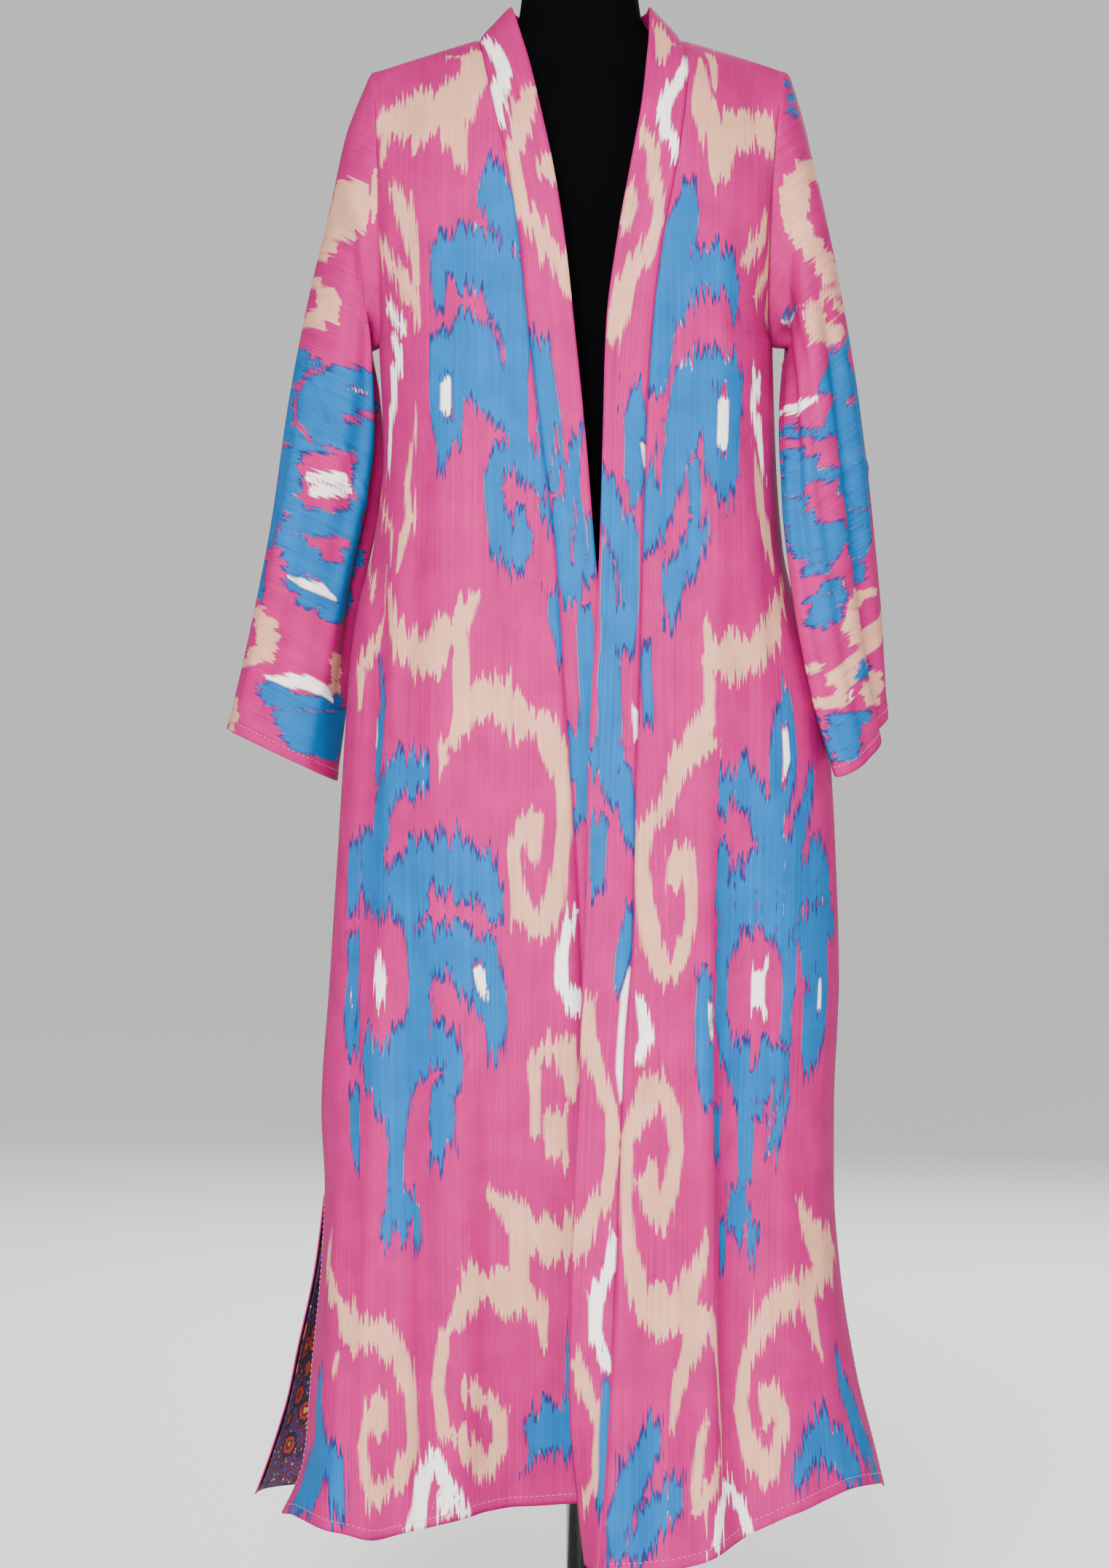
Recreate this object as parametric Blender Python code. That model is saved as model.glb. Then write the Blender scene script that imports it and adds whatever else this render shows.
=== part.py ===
# Long open-front ikat kaftan on a limbless dress form with a round floor stand.
#
# Metres, +Z up, the garment faces -Y, and the floor is z = 0.
# "right" and "left" are the wearer's, so right pieces lie on the -X side.
# Every cloth piece is a thin wall round a middle surface. The surfaces come from
# short tables of the coat's own sizes: s runs across a piece, t runs up it.
import math

import bmesh
import bpy
import numpy as np

for item in list(bpy.data.objects):
    bpy.data.objects.remove(item)

# Cloth sizes
WALL = 0.0016
SEAM_GAP = 0.0003
ARMHOLE_GAP = 0.0008
BAND_TOP_Z = 1.502
BAND_TOP_REACH = 0.061
BAND_BACK_Y = 0.060
BAND_BACK_DROP = 0.004
NECK_REACH = 0.089
NECK_Z = 1.472
NECK_BACK_Y = 0.078
NECK_BACK_DROP = 0.012
TIP_REACH = 0.186
TIP_Z = 1.444
UNDERARM_Z = 1.200
ARMHOLE_FRONT = 0.055
ARMHOLE_BACK = 0.065
ARMHOLE_BOW = {-1: 0.005, 1: 0.011}
NECK_SHARE = 0.45
FRONT_POWER = 2.6
BACK_POWER = 2.4
SLIT_TOP = {-1: 0.442, 1: 0.475}
SLIT_GAP_FRONT = 0.040
SLIT_GAP_BACK = 0.055
BACK_HEM_Z = 0.158
LINING_WALL = 0.0010
LINING_GAP = 0.0009
LINING_HEM = 0.003
LINING_TOP_Z = 0.600
SLEEVE_HANG = (0.20, 0.0, -0.98)
FOLD_EDGE_FADE = 0.12

# Form and stand sizes. Under the shoulder seams the form is an oval of a share of the
# coat's depth, and it may be deeper by the neck, where the coat stands open.
FORM_SEAT_GAP = 0.0007
FORM_SHOULDER_SHARE = 0.36
FORM_SHOULDER_REACH = 0.178
FORM_NECK_DEPTH = 0.050
FORM_NECK_FADE = 0.045
FORM_BOTTOM_Z = 0.800
FORM_CHEST_Z = (0.830, 1.360)
POLE_RADIUS = 0.0125
SOCKET_TOP_Z = 0.062

# How finely the pieces are divided
ROWS_LOW = 19
ROWS_HIGH = 9
ROWS_NECK = 4
FRONT_COLUMNS = 20
BACK_SHOULDER_COLUMNS = 6
BAND_COLUMNS = 2
SLEEVE_RINGS = 12
FORM_SIDES = 28
FORM_ROWS = 13
POLE_SIDES = 20
BASE_SIDES = 40


def chart(columns, *rows):
    """A short table of sizes: one array for each named column."""
    return dict(zip(columns.split(), np.array(rows, dtype=float).T))


# Half widths and depths of the hanging coat at each height
COAT = chart(
    "z right left front_right front_left back",
    (0.14, 0.276, 0.278, 0.165, 0.205, 0.170),
    (0.22, 0.242, 0.260, 0.163, 0.193, 0.162),
    (0.29, 0.237, 0.243, 0.162, 0.184, 0.157),
    (0.38, 0.229, 0.2295, 0.160, 0.174, 0.150),
    (0.455, 0.226, 0.2245, 0.158, 0.167, 0.146),
    (0.52, 0.229, 0.2245, 0.156, 0.162, 0.142),
    (0.64, 0.2215, 0.229, 0.151, 0.156, 0.136),
    (0.76, 0.214, 0.2255, 0.147, 0.151, 0.132),
    (0.865, 0.2075, 0.2185, 0.144, 0.148, 0.128),
    (0.92, 0.2035, 0.206, 0.142, 0.146, 0.126),
    (0.97, 0.196, 0.190, 0.140, 0.144, 0.124),
    (1.02, 0.183, 0.179, 0.138, 0.141, 0.122),
    (1.10, 0.174, 0.173, 0.135, 0.137, 0.118),
    (1.20, 0.178, 0.170, 0.130, 0.131, 0.112),
)
# Half width of the back below the side slits, where it swings out past the fronts
BACK_SKIRT = chart(
    "z right left",
    (0.14, 0.304, 0.284),
    (0.18, 0.288, 0.274),
    (0.22, 0.274, 0.262),
    (0.26, 0.262, 0.252),
    (0.30, 0.2535, 0.243),
    (0.38, 0.236, 0.2305),
    (0.455, 0.226, 0.2245),
)
# Seam between front and band, and the band's free edge, as distances from the
# middle line towards each front's own side (below zero: past the middle)
EDGES = chart(
    "z seam_right edge_right seam_left edge_left",
    (0.14, -0.0105, -0.0525, 0.0130, 0.0045),
    (0.20, -0.0105, -0.0525, 0.0170, -0.0025),
    (0.30, -0.0100, -0.0520, 0.0238, -0.0104),
    (0.45, -0.0070, -0.0490, 0.0315, -0.0071),
    (0.58, -0.0030, -0.0450, 0.0358, -0.0012),
    (0.70, 0.0020, -0.0395, 0.0446, 0.0018),
    (0.80, 0.0082, -0.0330, 0.0459, 0.0050),
    (0.90, 0.0152, -0.0255, 0.0497, 0.0092),
    (1.00, 0.0210, -0.0127, 0.0522, 0.0149),
    (1.10, 0.0333, -0.0045, 0.0553, 0.0180),
    (1.20, 0.0454, 0.0055, 0.0612, 0.0210),
    (1.28, 0.0535, 0.0142, 0.0710, 0.0312),
    (1.34, 0.0628, 0.0235, 0.0823, 0.0418),
    (1.40, 0.0755, 0.0358, 0.0912, 0.0525),
    (1.44, 0.0842, 0.0445, 0.0945, 0.0570),
    (1.472, 0.0890, 0.0530, 0.0890, 0.0600),
    (1.502, 0.0890, 0.0610, 0.0890, 0.0610),
)
# How much higher the band's free edge lies than its seam, how far the edge of the
# upper band turns back near the hem, and how far the under front falls back
CENTRE = chart(
    "z lift turn fall",
    (0.14, 0.000, 0.042, 0.075),
    (0.22, 0.000, 0.030, 0.052),
    (0.30, 0.000, 0.012, 0.034),
    (0.45, 0.001, 0.000, 0.018),
    (0.60, 0.001, 0.000, 0.010),
    (0.80, 0.002, 0.000, 0.004),
    (0.95, 0.003, 0.000, 0.000),
    (1.10, 0.006, 0.000, 0.000),
    (1.30, 0.009, 0.000, 0.000),
    (1.40, 0.010, 0.000, 0.000),
    (1.44, 0.014, 0.000, 0.000),
    (1.472, 0.030, 0.000, 0.000),
)
# Where the back's columns hang, from the middle (90 degrees) to the side (0)
BACK_COLUMNS = chart("s turn", (0, 90), (NECK_SHARE, 60), (1, 0))
# Height of each front's hem, from its side edge (0) to its seam (1)
HEM = {
    -1: chart(
        "s z",
        (0, 0.1685),
        (0.2, 0.1765),
        (0.45, 0.171),
        (0.6, 0.1625),
        (0.8, 0.182),
        (1, 0.1915),
    ),
    1: chart(
        "s z",
        (0, 0.1915),
        (0.15, 0.2035),
        (0.36, 0.209),
        (0.6, 0.1965),
        (0.8, 0.168),
        (0.92, 0.153),
        (1, 0.152),
    ),
}
# Height of the back's hem from the right side (-1) to the left one (1)
BACK_HEM = chart("s z", (-1, 0.165), (-0.5, 0.158), (0.4, 0.160), (1, 0.181))
# Soft folds: a line from low to high, with its spread and how far it stands out
FOLDS = {
    -1: chart(
        "low high z_low z_high spread proud",
        (0.205, 0.190, 0.14, 0.60, 0.022, 0.008),
        (0.160, 0.150, 0.14, 0.66, 0.018, -0.008),
        (0.105, 0.090, 0.14, 0.72, 0.020, 0.007),
        (0.060, 0.050, 0.14, 0.60, 0.016, -0.006),
        (0.196, 0.168, 0.66, 1.06, 0.012, -0.007),
        (0.120, 0.130, 0.95, 1.28, 0.020, 0.005),
    ),
    1: chart(
        "low high z_low z_high spread proud",
        (0.103, 0.107, 0.05, 1.00, 0.015, 0.010),
        (0.137, 0.135, 0.05, 1.00, 0.018, -0.015),
        (0.190, 0.178, 0.14, 0.90, 0.018, 0.007),
        (0.062, 0.070, 0.14, 0.60, 0.014, -0.005),
        (0.120, 0.130, 1.00, 1.30, 0.018, 0.005),
    ),
    0: chart(
        "low high z_low z_high spread proud",
        (-0.215, -0.180, 0.14, 0.80, 0.022, 0.010),
        (-0.160, -0.130, 0.14, 0.90, 0.020, -0.011),
        (-0.105, -0.085, 0.14, 1.02, 0.022, 0.011),
        (-0.050, -0.040, 0.14, 0.86, 0.020, -0.009),
        (0.012, 0.005, 0.14, 1.05, 0.024, 0.010),
        (0.072, 0.060, 0.14, 0.88, 0.020, -0.010),
        (0.128, 0.100, 0.14, 1.00, 0.022, 0.011),
        (0.180, 0.150, 0.14, 0.84, 0.020, -0.010),
        (0.225, 0.190, 0.14, 0.76, 0.022, 0.009),
    ),
}
# Sleeves: the outer and the inner fold line, and how far each layer bulges
SLEEVES = {
    -1: chart(
        "t outer_x outer_y outer_z inner_x inner_y inner_z bulge_front bulge_back",
        (0.00, 0.1860, 0.000, 1.444, 0.1780, 0.000, 1.200, 0.055, 0.065),
        (0.10, 0.2090, 0.006, 1.387, 0.1870, 0.012, 1.196, 0.058, 0.065),
        (0.20, 0.2220, 0.012, 1.330, 0.1810, 0.036, 1.162, 0.060, 0.062),
        (0.35, 0.2440, 0.022, 1.241, 0.1775, 0.052, 1.105, 0.060, 0.060),
        (0.50, 0.2620, 0.032, 1.152, 0.1840, 0.056, 1.050, 0.058, 0.058),
        (0.68, 0.2795, 0.044, 1.041, 0.1990, 0.056, 0.975, 0.056, 0.056),
        (0.85, 0.3020, 0.050, 0.932, 0.2110, 0.056, 0.885, 0.056, 0.056),
        (1.00, 0.3190, 0.055, 0.860, 0.2210, 0.055, 0.813, 0.057, 0.057),
    ),
    1: chart(
        "t outer_x outer_y outer_z inner_x inner_y inner_z bulge_front bulge_back",
        (0.00, 0.1860, 0.000, 1.444, 0.1700, 0.000, 1.200, 0.055, 0.065),
        (0.10, 0.2025, 0.003, 1.388, 0.1860, -0.003, 1.198, 0.056, 0.056),
        (0.20, 0.2135, 0.006, 1.332, 0.1800, -0.036, 1.162, 0.052, 0.038),
        (0.35, 0.2255, 0.012, 1.241, 0.1760, -0.062, 1.110, 0.046, 0.022),
        (0.50, 0.2360, 0.020, 1.155, 0.1770, -0.078, 1.055, 0.042, 0.014),
        (0.68, 0.2480, 0.032, 1.040, 0.1850, -0.090, 0.975, 0.038, 0.012),
        (0.85, 0.2565, 0.042, 0.945, 0.2020, -0.098, 0.885, 0.034, 0.012),
        (1.00, 0.2590, 0.050, 0.884, 0.2230, -0.104, 0.816, 0.030, 0.012),
    ),
}
# Lengthwise folds of the sleeves: turn round the ring (0 outer line, 0.25 front,
# 0.5 inner line), where they start and end, spread and how far they stand out
SLEEVE_FOLDS = {
    -1: chart(
        "turn t_low t_high spread proud",
        (0.30, 0.10, 0.75, 0.040, -0.007),
        (0.17, 0.30, 1.10, 0.035, -0.006),
        (0.70, 0.15, 1.10, 0.045, -0.008),
        (0.85, 0.25, 1.10, 0.040, -0.006),
    ),
    1: chart(
        "turn t_low t_high spread proud",
        (0.24, 0.15, 1.20, 0.035, -0.016),
        (0.70, 0.20, 1.10, 0.050, -0.007),
    ),
}
# Half widths and depths of the dress form's torso, shoulders and neck
FORM = chart(
    "z width front back",
    (0.800, 0.150, 0.090, 0.100),
    (0.806, 0.158, 0.098, 0.108),
    (0.830, 0.164, 0.103, 0.113),
    (0.890, 0.166, 0.104, 0.113),
    (0.990, 0.143, 0.095, 0.094),
    (1.080, 0.124, 0.089, 0.082),
    (1.160, 0.136, 0.100, 0.088),
    (1.250, 0.152, 0.112, 0.096),
    (1.330, 0.160, 0.104, 0.098),
    (1.385, 0.164, 0.084, 0.088),
    (1.420, 0.168, 0.066, 0.074),
    (1.438, 0.1700, 0.055, 0.064),
    (1.446, 0.1685, 0.050, 0.058),
)
# Slope of the form's shoulders: half width at each level, and the depths there
FORM_SHOULDERS = chart(
    "reach front back",
    (0.156, 0.0492, 0.0561),
    (0.142, 0.0483, 0.0540),
    (0.124, 0.0472, 0.0512),
    (0.106, 0.0460, 0.0484),
    (0.092, 0.0451, 0.0463),
)
# Neck of the form above its shoulder line
FORM_NECK = chart(
    "z width front back",
    (1.4725, 0.0740, 0.0450, 0.0460),
    (1.4790, 0.0620, 0.0450, 0.0455),
    (1.4920, 0.0545, 0.0455, 0.0455),
    (1.5100, 0.0520, 0.0460, 0.0460),
    (1.5460, 0.0515, 0.0460, 0.0460),
    (1.5530, 0.0480, 0.0430, 0.0430),
    (1.5570, 0.0390, 0.0350, 0.0350),
    (1.5590, 0.0220, 0.0200, 0.0200),
)
# Turned outline of the floor plate with its socket
BASE = chart(
    "radius z",
    (0.182, 0.000),
    (0.185, 0.003),
    (0.185, 0.008),
    (0.181, 0.012),
    (0.100, 0.0165),
    (0.036, 0.022),
    (0.026, 0.030),
    (0.022, 0.045),
    (0.022, 0.059),
    (0.019, SOCKET_TOP_Z),
)


def along(table, key, column, at):
    """Read a column of a table as a smooth curve that keeps its rises and falls."""
    xs = table[key]
    ys = table[column]
    steps = np.diff(xs)
    slopes = np.diff(ys) / steps
    before = slopes[:-1]
    after = slopes[1:]
    same = before * after > 0
    middle = np.where(same, 2 * before * after / np.where(same, before + after, 1), 0)
    ends = np.concatenate(([slopes[0]], middle, [slopes[-1]]))
    at = np.clip(at, xs[0], xs[-1])
    i = np.clip(np.searchsorted(xs, at) - 1, 0, len(xs) - 2)
    u = (at - xs[i]) / steps[i]
    start = (1 + 2 * u) * (1 - u) ** 2 * ys[i] + u * (1 - u) ** 2 * steps[i] * ends[i]
    finish = u**2 * (3 - 2 * u) * ys[i + 1] - u**2 * (1 - u) * steps[i] * ends[i + 1]
    return start + finish


def mix(low, high, share):
    return low + (high - low) * share


def ease(share):
    share = np.clip(share, 0, 1)
    return share * share * (3 - 2 * share)


def word(side):
    return "right" if side < 0 else "left"


def slit_gap(side, z, most):
    """How far an edge swings away from the side line below the slit's top."""
    top = SLIT_TOP[side]
    share = np.clip((top - z) / (top - BACK_HEM_Z), 0, 1.2)
    return most * share**1.4


def fold_depth(folds, x, z):
    """How far the soft folds stand out at a place on a panel."""
    total = np.zeros(np.broadcast(x, z).shape)
    for low, high, z_low, z_high, spread, proud in zip(*folds.values()):
        rise = np.clip((z - z_low) / (z_high - z_low), 0, 1)
        line = mix(low, high, rise)
        fade = 1 - rise**2
        total = total + proud * fade * np.exp(-(((x - line) / spread) ** 2))
    return total


def front_y(side, reach, z):
    """Depth of a front's hanging surface where it is 'reach' from the middle line."""
    width = along(COAT, "z", word(side), z)
    deep = along(COAT, "z", "front_" + word(side), z)
    gap = slit_gap(side, z, SLIT_GAP_FRONT)
    share = np.clip(np.abs(reach) / width, 0, 1) ** FRONT_POWER
    return -(gap + (deep - gap) * (1 - share) ** (1 / FRONT_POWER))


def centre_fall(side, share, z):
    """The under front falls back towards its seam near the hem."""
    if side > 0:
        return 0 * share
    return along(CENTRE, "z", "fall", z) * ease((share - 0.35) / 0.65)


def low_reach(side, s, z):
    """Where column s of a front lies between the side (0) and the seam (1)."""
    width = along(COAT, "z", word(side), z)
    seam = along(EDGES, "z", "seam_" + word(side), z) / width
    bend = np.sign(seam) * np.abs(seam) ** (FRONT_POWER / 2)
    turn = np.arccos(bend) * s
    return width * np.sign(np.cos(turn)) * np.abs(np.cos(turn)) ** (2 / FRONT_POWER)


def armhole_bump(rise, across):
    """Bow of the armhole: round at its own edge, softer further in."""
    power = 0.5 + 1.5 * np.clip(across / 0.3, 0, 1)
    return (4 * rise * (1 - rise)) ** power * (1 - across) ** 2


def front_point(side, s, t):
    """Middle surface of a front: t is 0 at the hem, 1 at the underarm, 2 at the top."""
    s, t = np.broadcast_arrays(np.asarray(s, float), np.asarray(t, float))
    rise = np.clip(t - 1, 0, 1)
    hem = along(HEM[side], "s", "z", s)
    low_z = mix(hem, UNDERARM_Z, np.clip(t, 0, 1))
    reach = low_reach(side, s, low_z)
    y = front_y(side, reach, low_z) + centre_fall(side, s, low_z)
    width = along(COAT, "z", word(side), UNDERARM_Z)
    low_seam = along(EDGES, "z", "seam_" + word(side), UNDERARM_Z)
    share = mix((width - reach) / (width - low_seam), s, ease(rise))
    z = low_z + (mix(TIP_Z, NECK_Z, s) - UNDERARM_Z) * rise
    bow = ARMHOLE_BOW[side] * armhole_bump(rise, 0 * s)
    armhole = mix(width, TIP_REACH, rise) - bow
    seam = along(EDGES, "z", "seam_" + word(side), z)
    high_reach = mix(armhole, seam, share)
    high_y = y * np.sqrt(1 - rise**2) - ARMHOLE_FRONT * armhole_bump(rise, s)
    reach = np.where(t > 1, high_reach, reach)
    y = np.where(t > 1, high_y, y)
    hold = ease(s / FOLD_EDGE_FADE) * ease((1 - s) / FOLD_EDGE_FADE)
    hold = hold * (1 - ease((rise - 0.4) / 0.5))
    y = y - fold_depth(FOLDS[side], reach, z) * hold
    return np.stack((side * reach, y, z), -1)


def back_point(s, t):
    """Middle surface of the back: s runs from -1 (right side) to 1 (left side)."""
    s, t = np.broadcast_arrays(np.asarray(s, float), np.asarray(t, float))
    out = np.abs(s)
    rise = np.clip(t - 1, 0, 1)
    low_z = mix(along(BACK_HEM, "s", "z", s), UNDERARM_Z, np.clip(t, 0, 1))
    body = {k: along(COAT, "z", word(k), low_z) for k in (-1, 1)}
    skirt = {k: along(BACK_SKIRT, "z", word(k), low_z) for k in (-1, 1)}
    flare = {k: np.maximum(skirt[k], body[k]) for k in (-1, 1)}
    width = {k: np.where(low_z < SLIT_TOP[k], flare[k], body[k]) for k in (-1, 1)}
    gap = {k: slit_gap(k, low_z, SLIT_GAP_BACK) for k in (-1, 1)}
    half = np.where(s < 0, width[-1], width[1])
    apart = np.where(s < 0, gap[-1], gap[1])
    turn = np.radians(along(BACK_COLUMNS, "s", "turn", out))
    deep = along(COAT, "z", "back", low_z)
    low_x = np.abs(np.cos(turn)) ** (2 / BACK_POWER) * half
    low_y = apart + (deep - apart) * np.abs(np.sin(turn)) ** (2 / BACK_POWER)
    neck_turn = np.clip(1 - out / NECK_SHARE, 0, 1) * math.pi / 2
    shoulder = np.clip((out - NECK_SHARE) / (1 - NECK_SHARE), 0, 1)
    top_x = np.where(out > NECK_SHARE, mix(NECK_REACH, TIP_REACH, shoulder),
                     NECK_REACH * np.cos(neck_turn))
    top_y = NECK_BACK_Y * np.sin(neck_turn)
    top_z = mix(NECK_Z, TIP_Z, shoulder) - NECK_BACK_DROP * np.sin(neck_turn)
    z = low_z + (top_z - UNDERARM_Z) * rise
    high_x = mix(low_x, top_x, mix(ease(rise), rise, out))
    round_over = np.sqrt(1 - rise**2)
    straight = 1 - rise**2
    fall = mix(round_over, straight, np.sin(neck_turn))
    high_y = top_y + (low_y - top_y) * fall + ARMHOLE_BACK * armhole_bump(rise, 1 - out)
    x = np.where(t > 1, high_x, low_x) * np.sign(s)
    y = np.where(t > 1, high_y, low_y)
    hold = ease((1 - out) / 0.08) * (1 - ease(rise / 0.5))
    y = y + fold_depth(FOLDS[0], x, z) * hold
    return np.stack((x, y, z), -1)


def neck_point(side, r, turn):
    """Band round the back of the neck: turn is 0 at the side and 1 at the middle."""
    c = np.cos(turn * math.pi / 2)
    w = np.sin(turn * math.pi / 2)
    x = mix(NECK_REACH, BAND_TOP_REACH, r) * c
    y = mix(NECK_BACK_Y, BAND_BACK_Y, r) * w
    z = mix(NECK_Z - NECK_BACK_DROP * w, BAND_TOP_Z - BAND_BACK_DROP * w, r)
    return np.stack((side * x, y, z), -1)


def band_point(side, r, t):
    """Middle surface of the band: r is 0 at the seam and 1 at the free edge."""
    r, t = np.broadcast_arrays(np.asarray(r, float), np.asarray(t, float))
    seam = front_point(side, 1 + 0 * r, np.clip(t, 0, 2))
    rise = np.clip(t - 1, 0, 1)
    low_z = np.minimum(seam[..., 2], UNDERARM_Z)
    edge_z = seam[..., 2] + along(CENTRE, "z", "lift", seam[..., 2])
    reach = along(EDGES, "z", "edge_" + word(side), edge_z)
    back = along(CENTRE, "z", "turn", low_z) if side > 0 else 0 * low_z
    slope = front_y(side, reach, low_z) - front_y(side, side * seam[..., 0], low_z)
    edge_y = seam[..., 1] + mix(slope, 0, rise) + back
    edge = np.stack((side * reach, edge_y, edge_z), -1)
    front = mix(seam, edge, r[..., None])
    round_neck = neck_point(side, r, np.clip(t - 2, 0, 1))
    return np.where(t[..., None] > 2, round_neck, front)


def sleeve_ring(side, turn, t):
    """Ring of a sleeve: turn is 0 at the outer line, 0.25 front and 0.5 inner."""
    table = SLEEVES[side]

    def line(name):
        parts = [along(table, "t", name + "_" + axis, t) for axis in "xyz"]
        parts[0] = side * parts[0]
        return np.stack(parts, -1)

    outer = line("outer")
    inner = line("inner")
    middle = (outer + inner) / 2
    chord = (outer - inner) / 2
    lower = t[..., None] ** 0.5
    down = np.array(SLEEVE_HANG) * (side, 1, 1)
    away = np.array((side, 0.0, 0.0))
    front = np.cross(mix(away, down, lower), chord) * side
    front = front / np.linalg.norm(front, axis=-1, keepdims=True)
    angle = turn * 2 * math.pi
    sine = np.sin(angle)
    layers = [along(table, "t", "bulge_" + name, t) for name in ("front", "back")]
    bulge = np.where(sine > 0, *layers)
    for fold, t_low, t_high, spread, proud in zip(*SLEEVE_FOLDS[side].values()):
        share = np.clip((t - t_low) / (t_high - t_low), 0, 1)
        near = np.exp(-(((turn - fold) / spread) ** 2))
        bulge = bulge + proud * np.sin(math.pi * share) * near
    return middle + chord * np.cos(angle)[..., None] + front * (bulge * sine)[..., None]


def armhole_point(side, turn):
    """The armhole's own line, from the shoulder tip (0) down the front and back up."""
    rise = (1 + np.cos(turn * 2 * math.pi)) / 2
    front = front_point(side, 0 * turn, 1 + rise)
    back = back_point(side + 0 * turn, 1 + rise)
    return np.where(turn[..., None] <= 0.5, front, back)


def sleeve_point(side, turn, t):
    """Middle surface of a sleeve, which starts exactly on the armhole's line."""
    turn, t = np.broadcast_arrays(np.asarray(turn, float), np.asarray(t, float))
    ring = sleeve_ring(side, turn, t)
    start = armhole_point(side, turn) - sleeve_ring(side, turn, 0 * t)
    return ring + start * (1 - ease(t / 0.3))[..., None]


def grid_normals(points, ring):
    """Unit normals of a grid of points, from its rows and columns."""
    up = np.gradient(points, axis=0)
    if ring:
        across = np.roll(points, -1, axis=1) - np.roll(points, 1, axis=1)
    else:
        across = np.gradient(points, axis=1)
    normals = np.cross(across, up)
    size = np.linalg.norm(normals, axis=-1, keepdims=True)
    return normals / np.maximum(size, 1e-12)


def unit(vectors):
    return vectors / np.maximum(np.linalg.norm(vectors, axis=-1, keepdims=True), 1e-12)


class Cloth:
    """One cut piece: a grid of points, its normals, and the solid made from them.

    'outward' is the way its face looks, or None for a tube that faces away from its middle.
    """

    def __init__(self, name, points, colour, outward, ring=False, wall=WALL):
        self.name = name
        self.points = points
        self.ring = ring
        self.wall = wall
        self.colour = colour
        self.normals = grid_normals(points, ring)
        self.turned_over = False
        if outward is None:
            centre = points.mean(axis=1, keepdims=True)
            facing = np.sum(self.normals * (points - centre))
        else:
            facing = np.sum(self.normals * np.array(outward))
        if facing < 0:
            self.normals = -self.normals
            self.turned_over = True

    def flatten(self, where, axis, value):
        """Hold an edge on a seam's plane, with its wall square to that plane."""
        self.points[where + (axis,)] = value
        self.normals[where + (axis,)] = 0
        self.normals[where] = unit(self.normals[where])

    def solid(self):
        outer = self.points + self.normals * self.wall / 2
        inner = self.points - self.normals * self.wall / 2
        rows, columns = self.points.shape[:2]
        mesh = bpy.data.meshes.new(self.name)
        bm = bmesh.new()
        sheets = [[[bm.verts.new(p) for p in row] for row in sheet] for sheet in (outer, inner)]
        spans = columns if self.ring else columns - 1

        def patch(a, b, c, d, backwards):
            """Two triangles, always on the same diagonal, so that layers stay apart."""
            for loop in ((a, b, c), (a, c, d)):
                bm.faces.new(loop[::-1] if backwards else loop)

        outside, inside = sheets
        for c in range(spans):
            n = (c + 1) % columns
            for sheet, backwards in ((outside, False), (inside, True)):
                for r in range(rows - 1):
                    patch(sheet[r][c], sheet[r][n], sheet[r + 1][n], sheet[r + 1][c], backwards)
            for r, backwards in ((0, False), (rows - 1, True)):
                patch(outside[r][c], inside[r][c], inside[r][n], outside[r][n], backwards)
        if not self.ring:
            for c, backwards in ((0, False), (columns - 1, True)):
                for r in range(rows - 1):
                    n = r + 1
                    patch(outside[r][c], outside[n][c], inside[n][c], inside[r][c], backwards)
        if self.turned_over:
            bmesh.ops.reverse_faces(bm, faces=bm.faces)
        bm.to_mesh(mesh)
        bm.free()
        return place(self.name, mesh, self.colour, 0.85)


def place(name, mesh, colour, roughness, metallic=0.0):
    """Add one named object with its own material."""
    material = bpy.data.materials.new(name + "_finish")
    material.use_nodes = True
    shader = material.node_tree.nodes["Principled BSDF"]
    shader.inputs["Base Color"].default_value = (*colour, 1.0)
    shader.inputs["Roughness"].default_value = roughness
    shader.inputs["Metallic"].default_value = metallic
    mesh.materials.append(material)
    mesh.shade_smooth()
    mesh.set_sharp_from_angle(angle=math.radians(50))
    item = bpy.data.objects.new(name, mesh)
    bpy.context.scene.collection.objects.link(item)
    return item


def share_seam(pieces):
    """Give points that pieces share one common direction, so their walls meet in a mitre."""
    places = {}
    for piece in pieces:
        for spot in np.ndindex(piece.points.shape[:2]):
            key = tuple(np.round(piece.points[spot], 5))
            places.setdefault(key, []).append((piece, spot))
    for users in places.values():
        names = {piece.name for piece, _ in users}
        if len(names) < 2:
            continue
        common = sum(piece.normals[spot] for piece, spot in users)
        common = common / max(np.linalg.norm(common), 1e-9)
        lean = np.mean([np.dot(common, piece.normals[spot]) for piece, spot in users])
        for piece, spot in users:
            piece.normals[spot] = common / max(lean, 0.72)


def pull_back(piece, edge, amount=SEAM_GAP / 2):
    """Move one edge of a piece in from the seam, by half the seam's gap."""
    near = piece.points[edge[0]]
    inward = piece.points[edge[1]] - near
    along_seam = unit(np.gradient(near, axis=0))
    inward = inward - along_seam * np.sum(inward * along_seam, axis=-1, keepdims=True)
    near += unit(inward) * amount


FIRST_ROW = (np.s_[0, :], np.s_[1, :])
LAST_ROW = (np.s_[-1, :], np.s_[-2, :])
FIRST_COLUMN = (np.s_[:, 0], np.s_[:, 1])
LAST_COLUMN = (np.s_[:, -1], np.s_[:, -2])

PINK = (0.62, 0.10, 0.33)
BLUE = (0.09, 0.33, 0.60)
SAND = (0.78, 0.58, 0.45)
RED_PRINT = (0.20, 0.010, 0.020)
BLACK_CLOTH = (0.006, 0.006, 0.008)
STEEL = (0.55, 0.55, 0.57)
BLACK_PAINT = (0.012, 0.012, 0.013)


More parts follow.
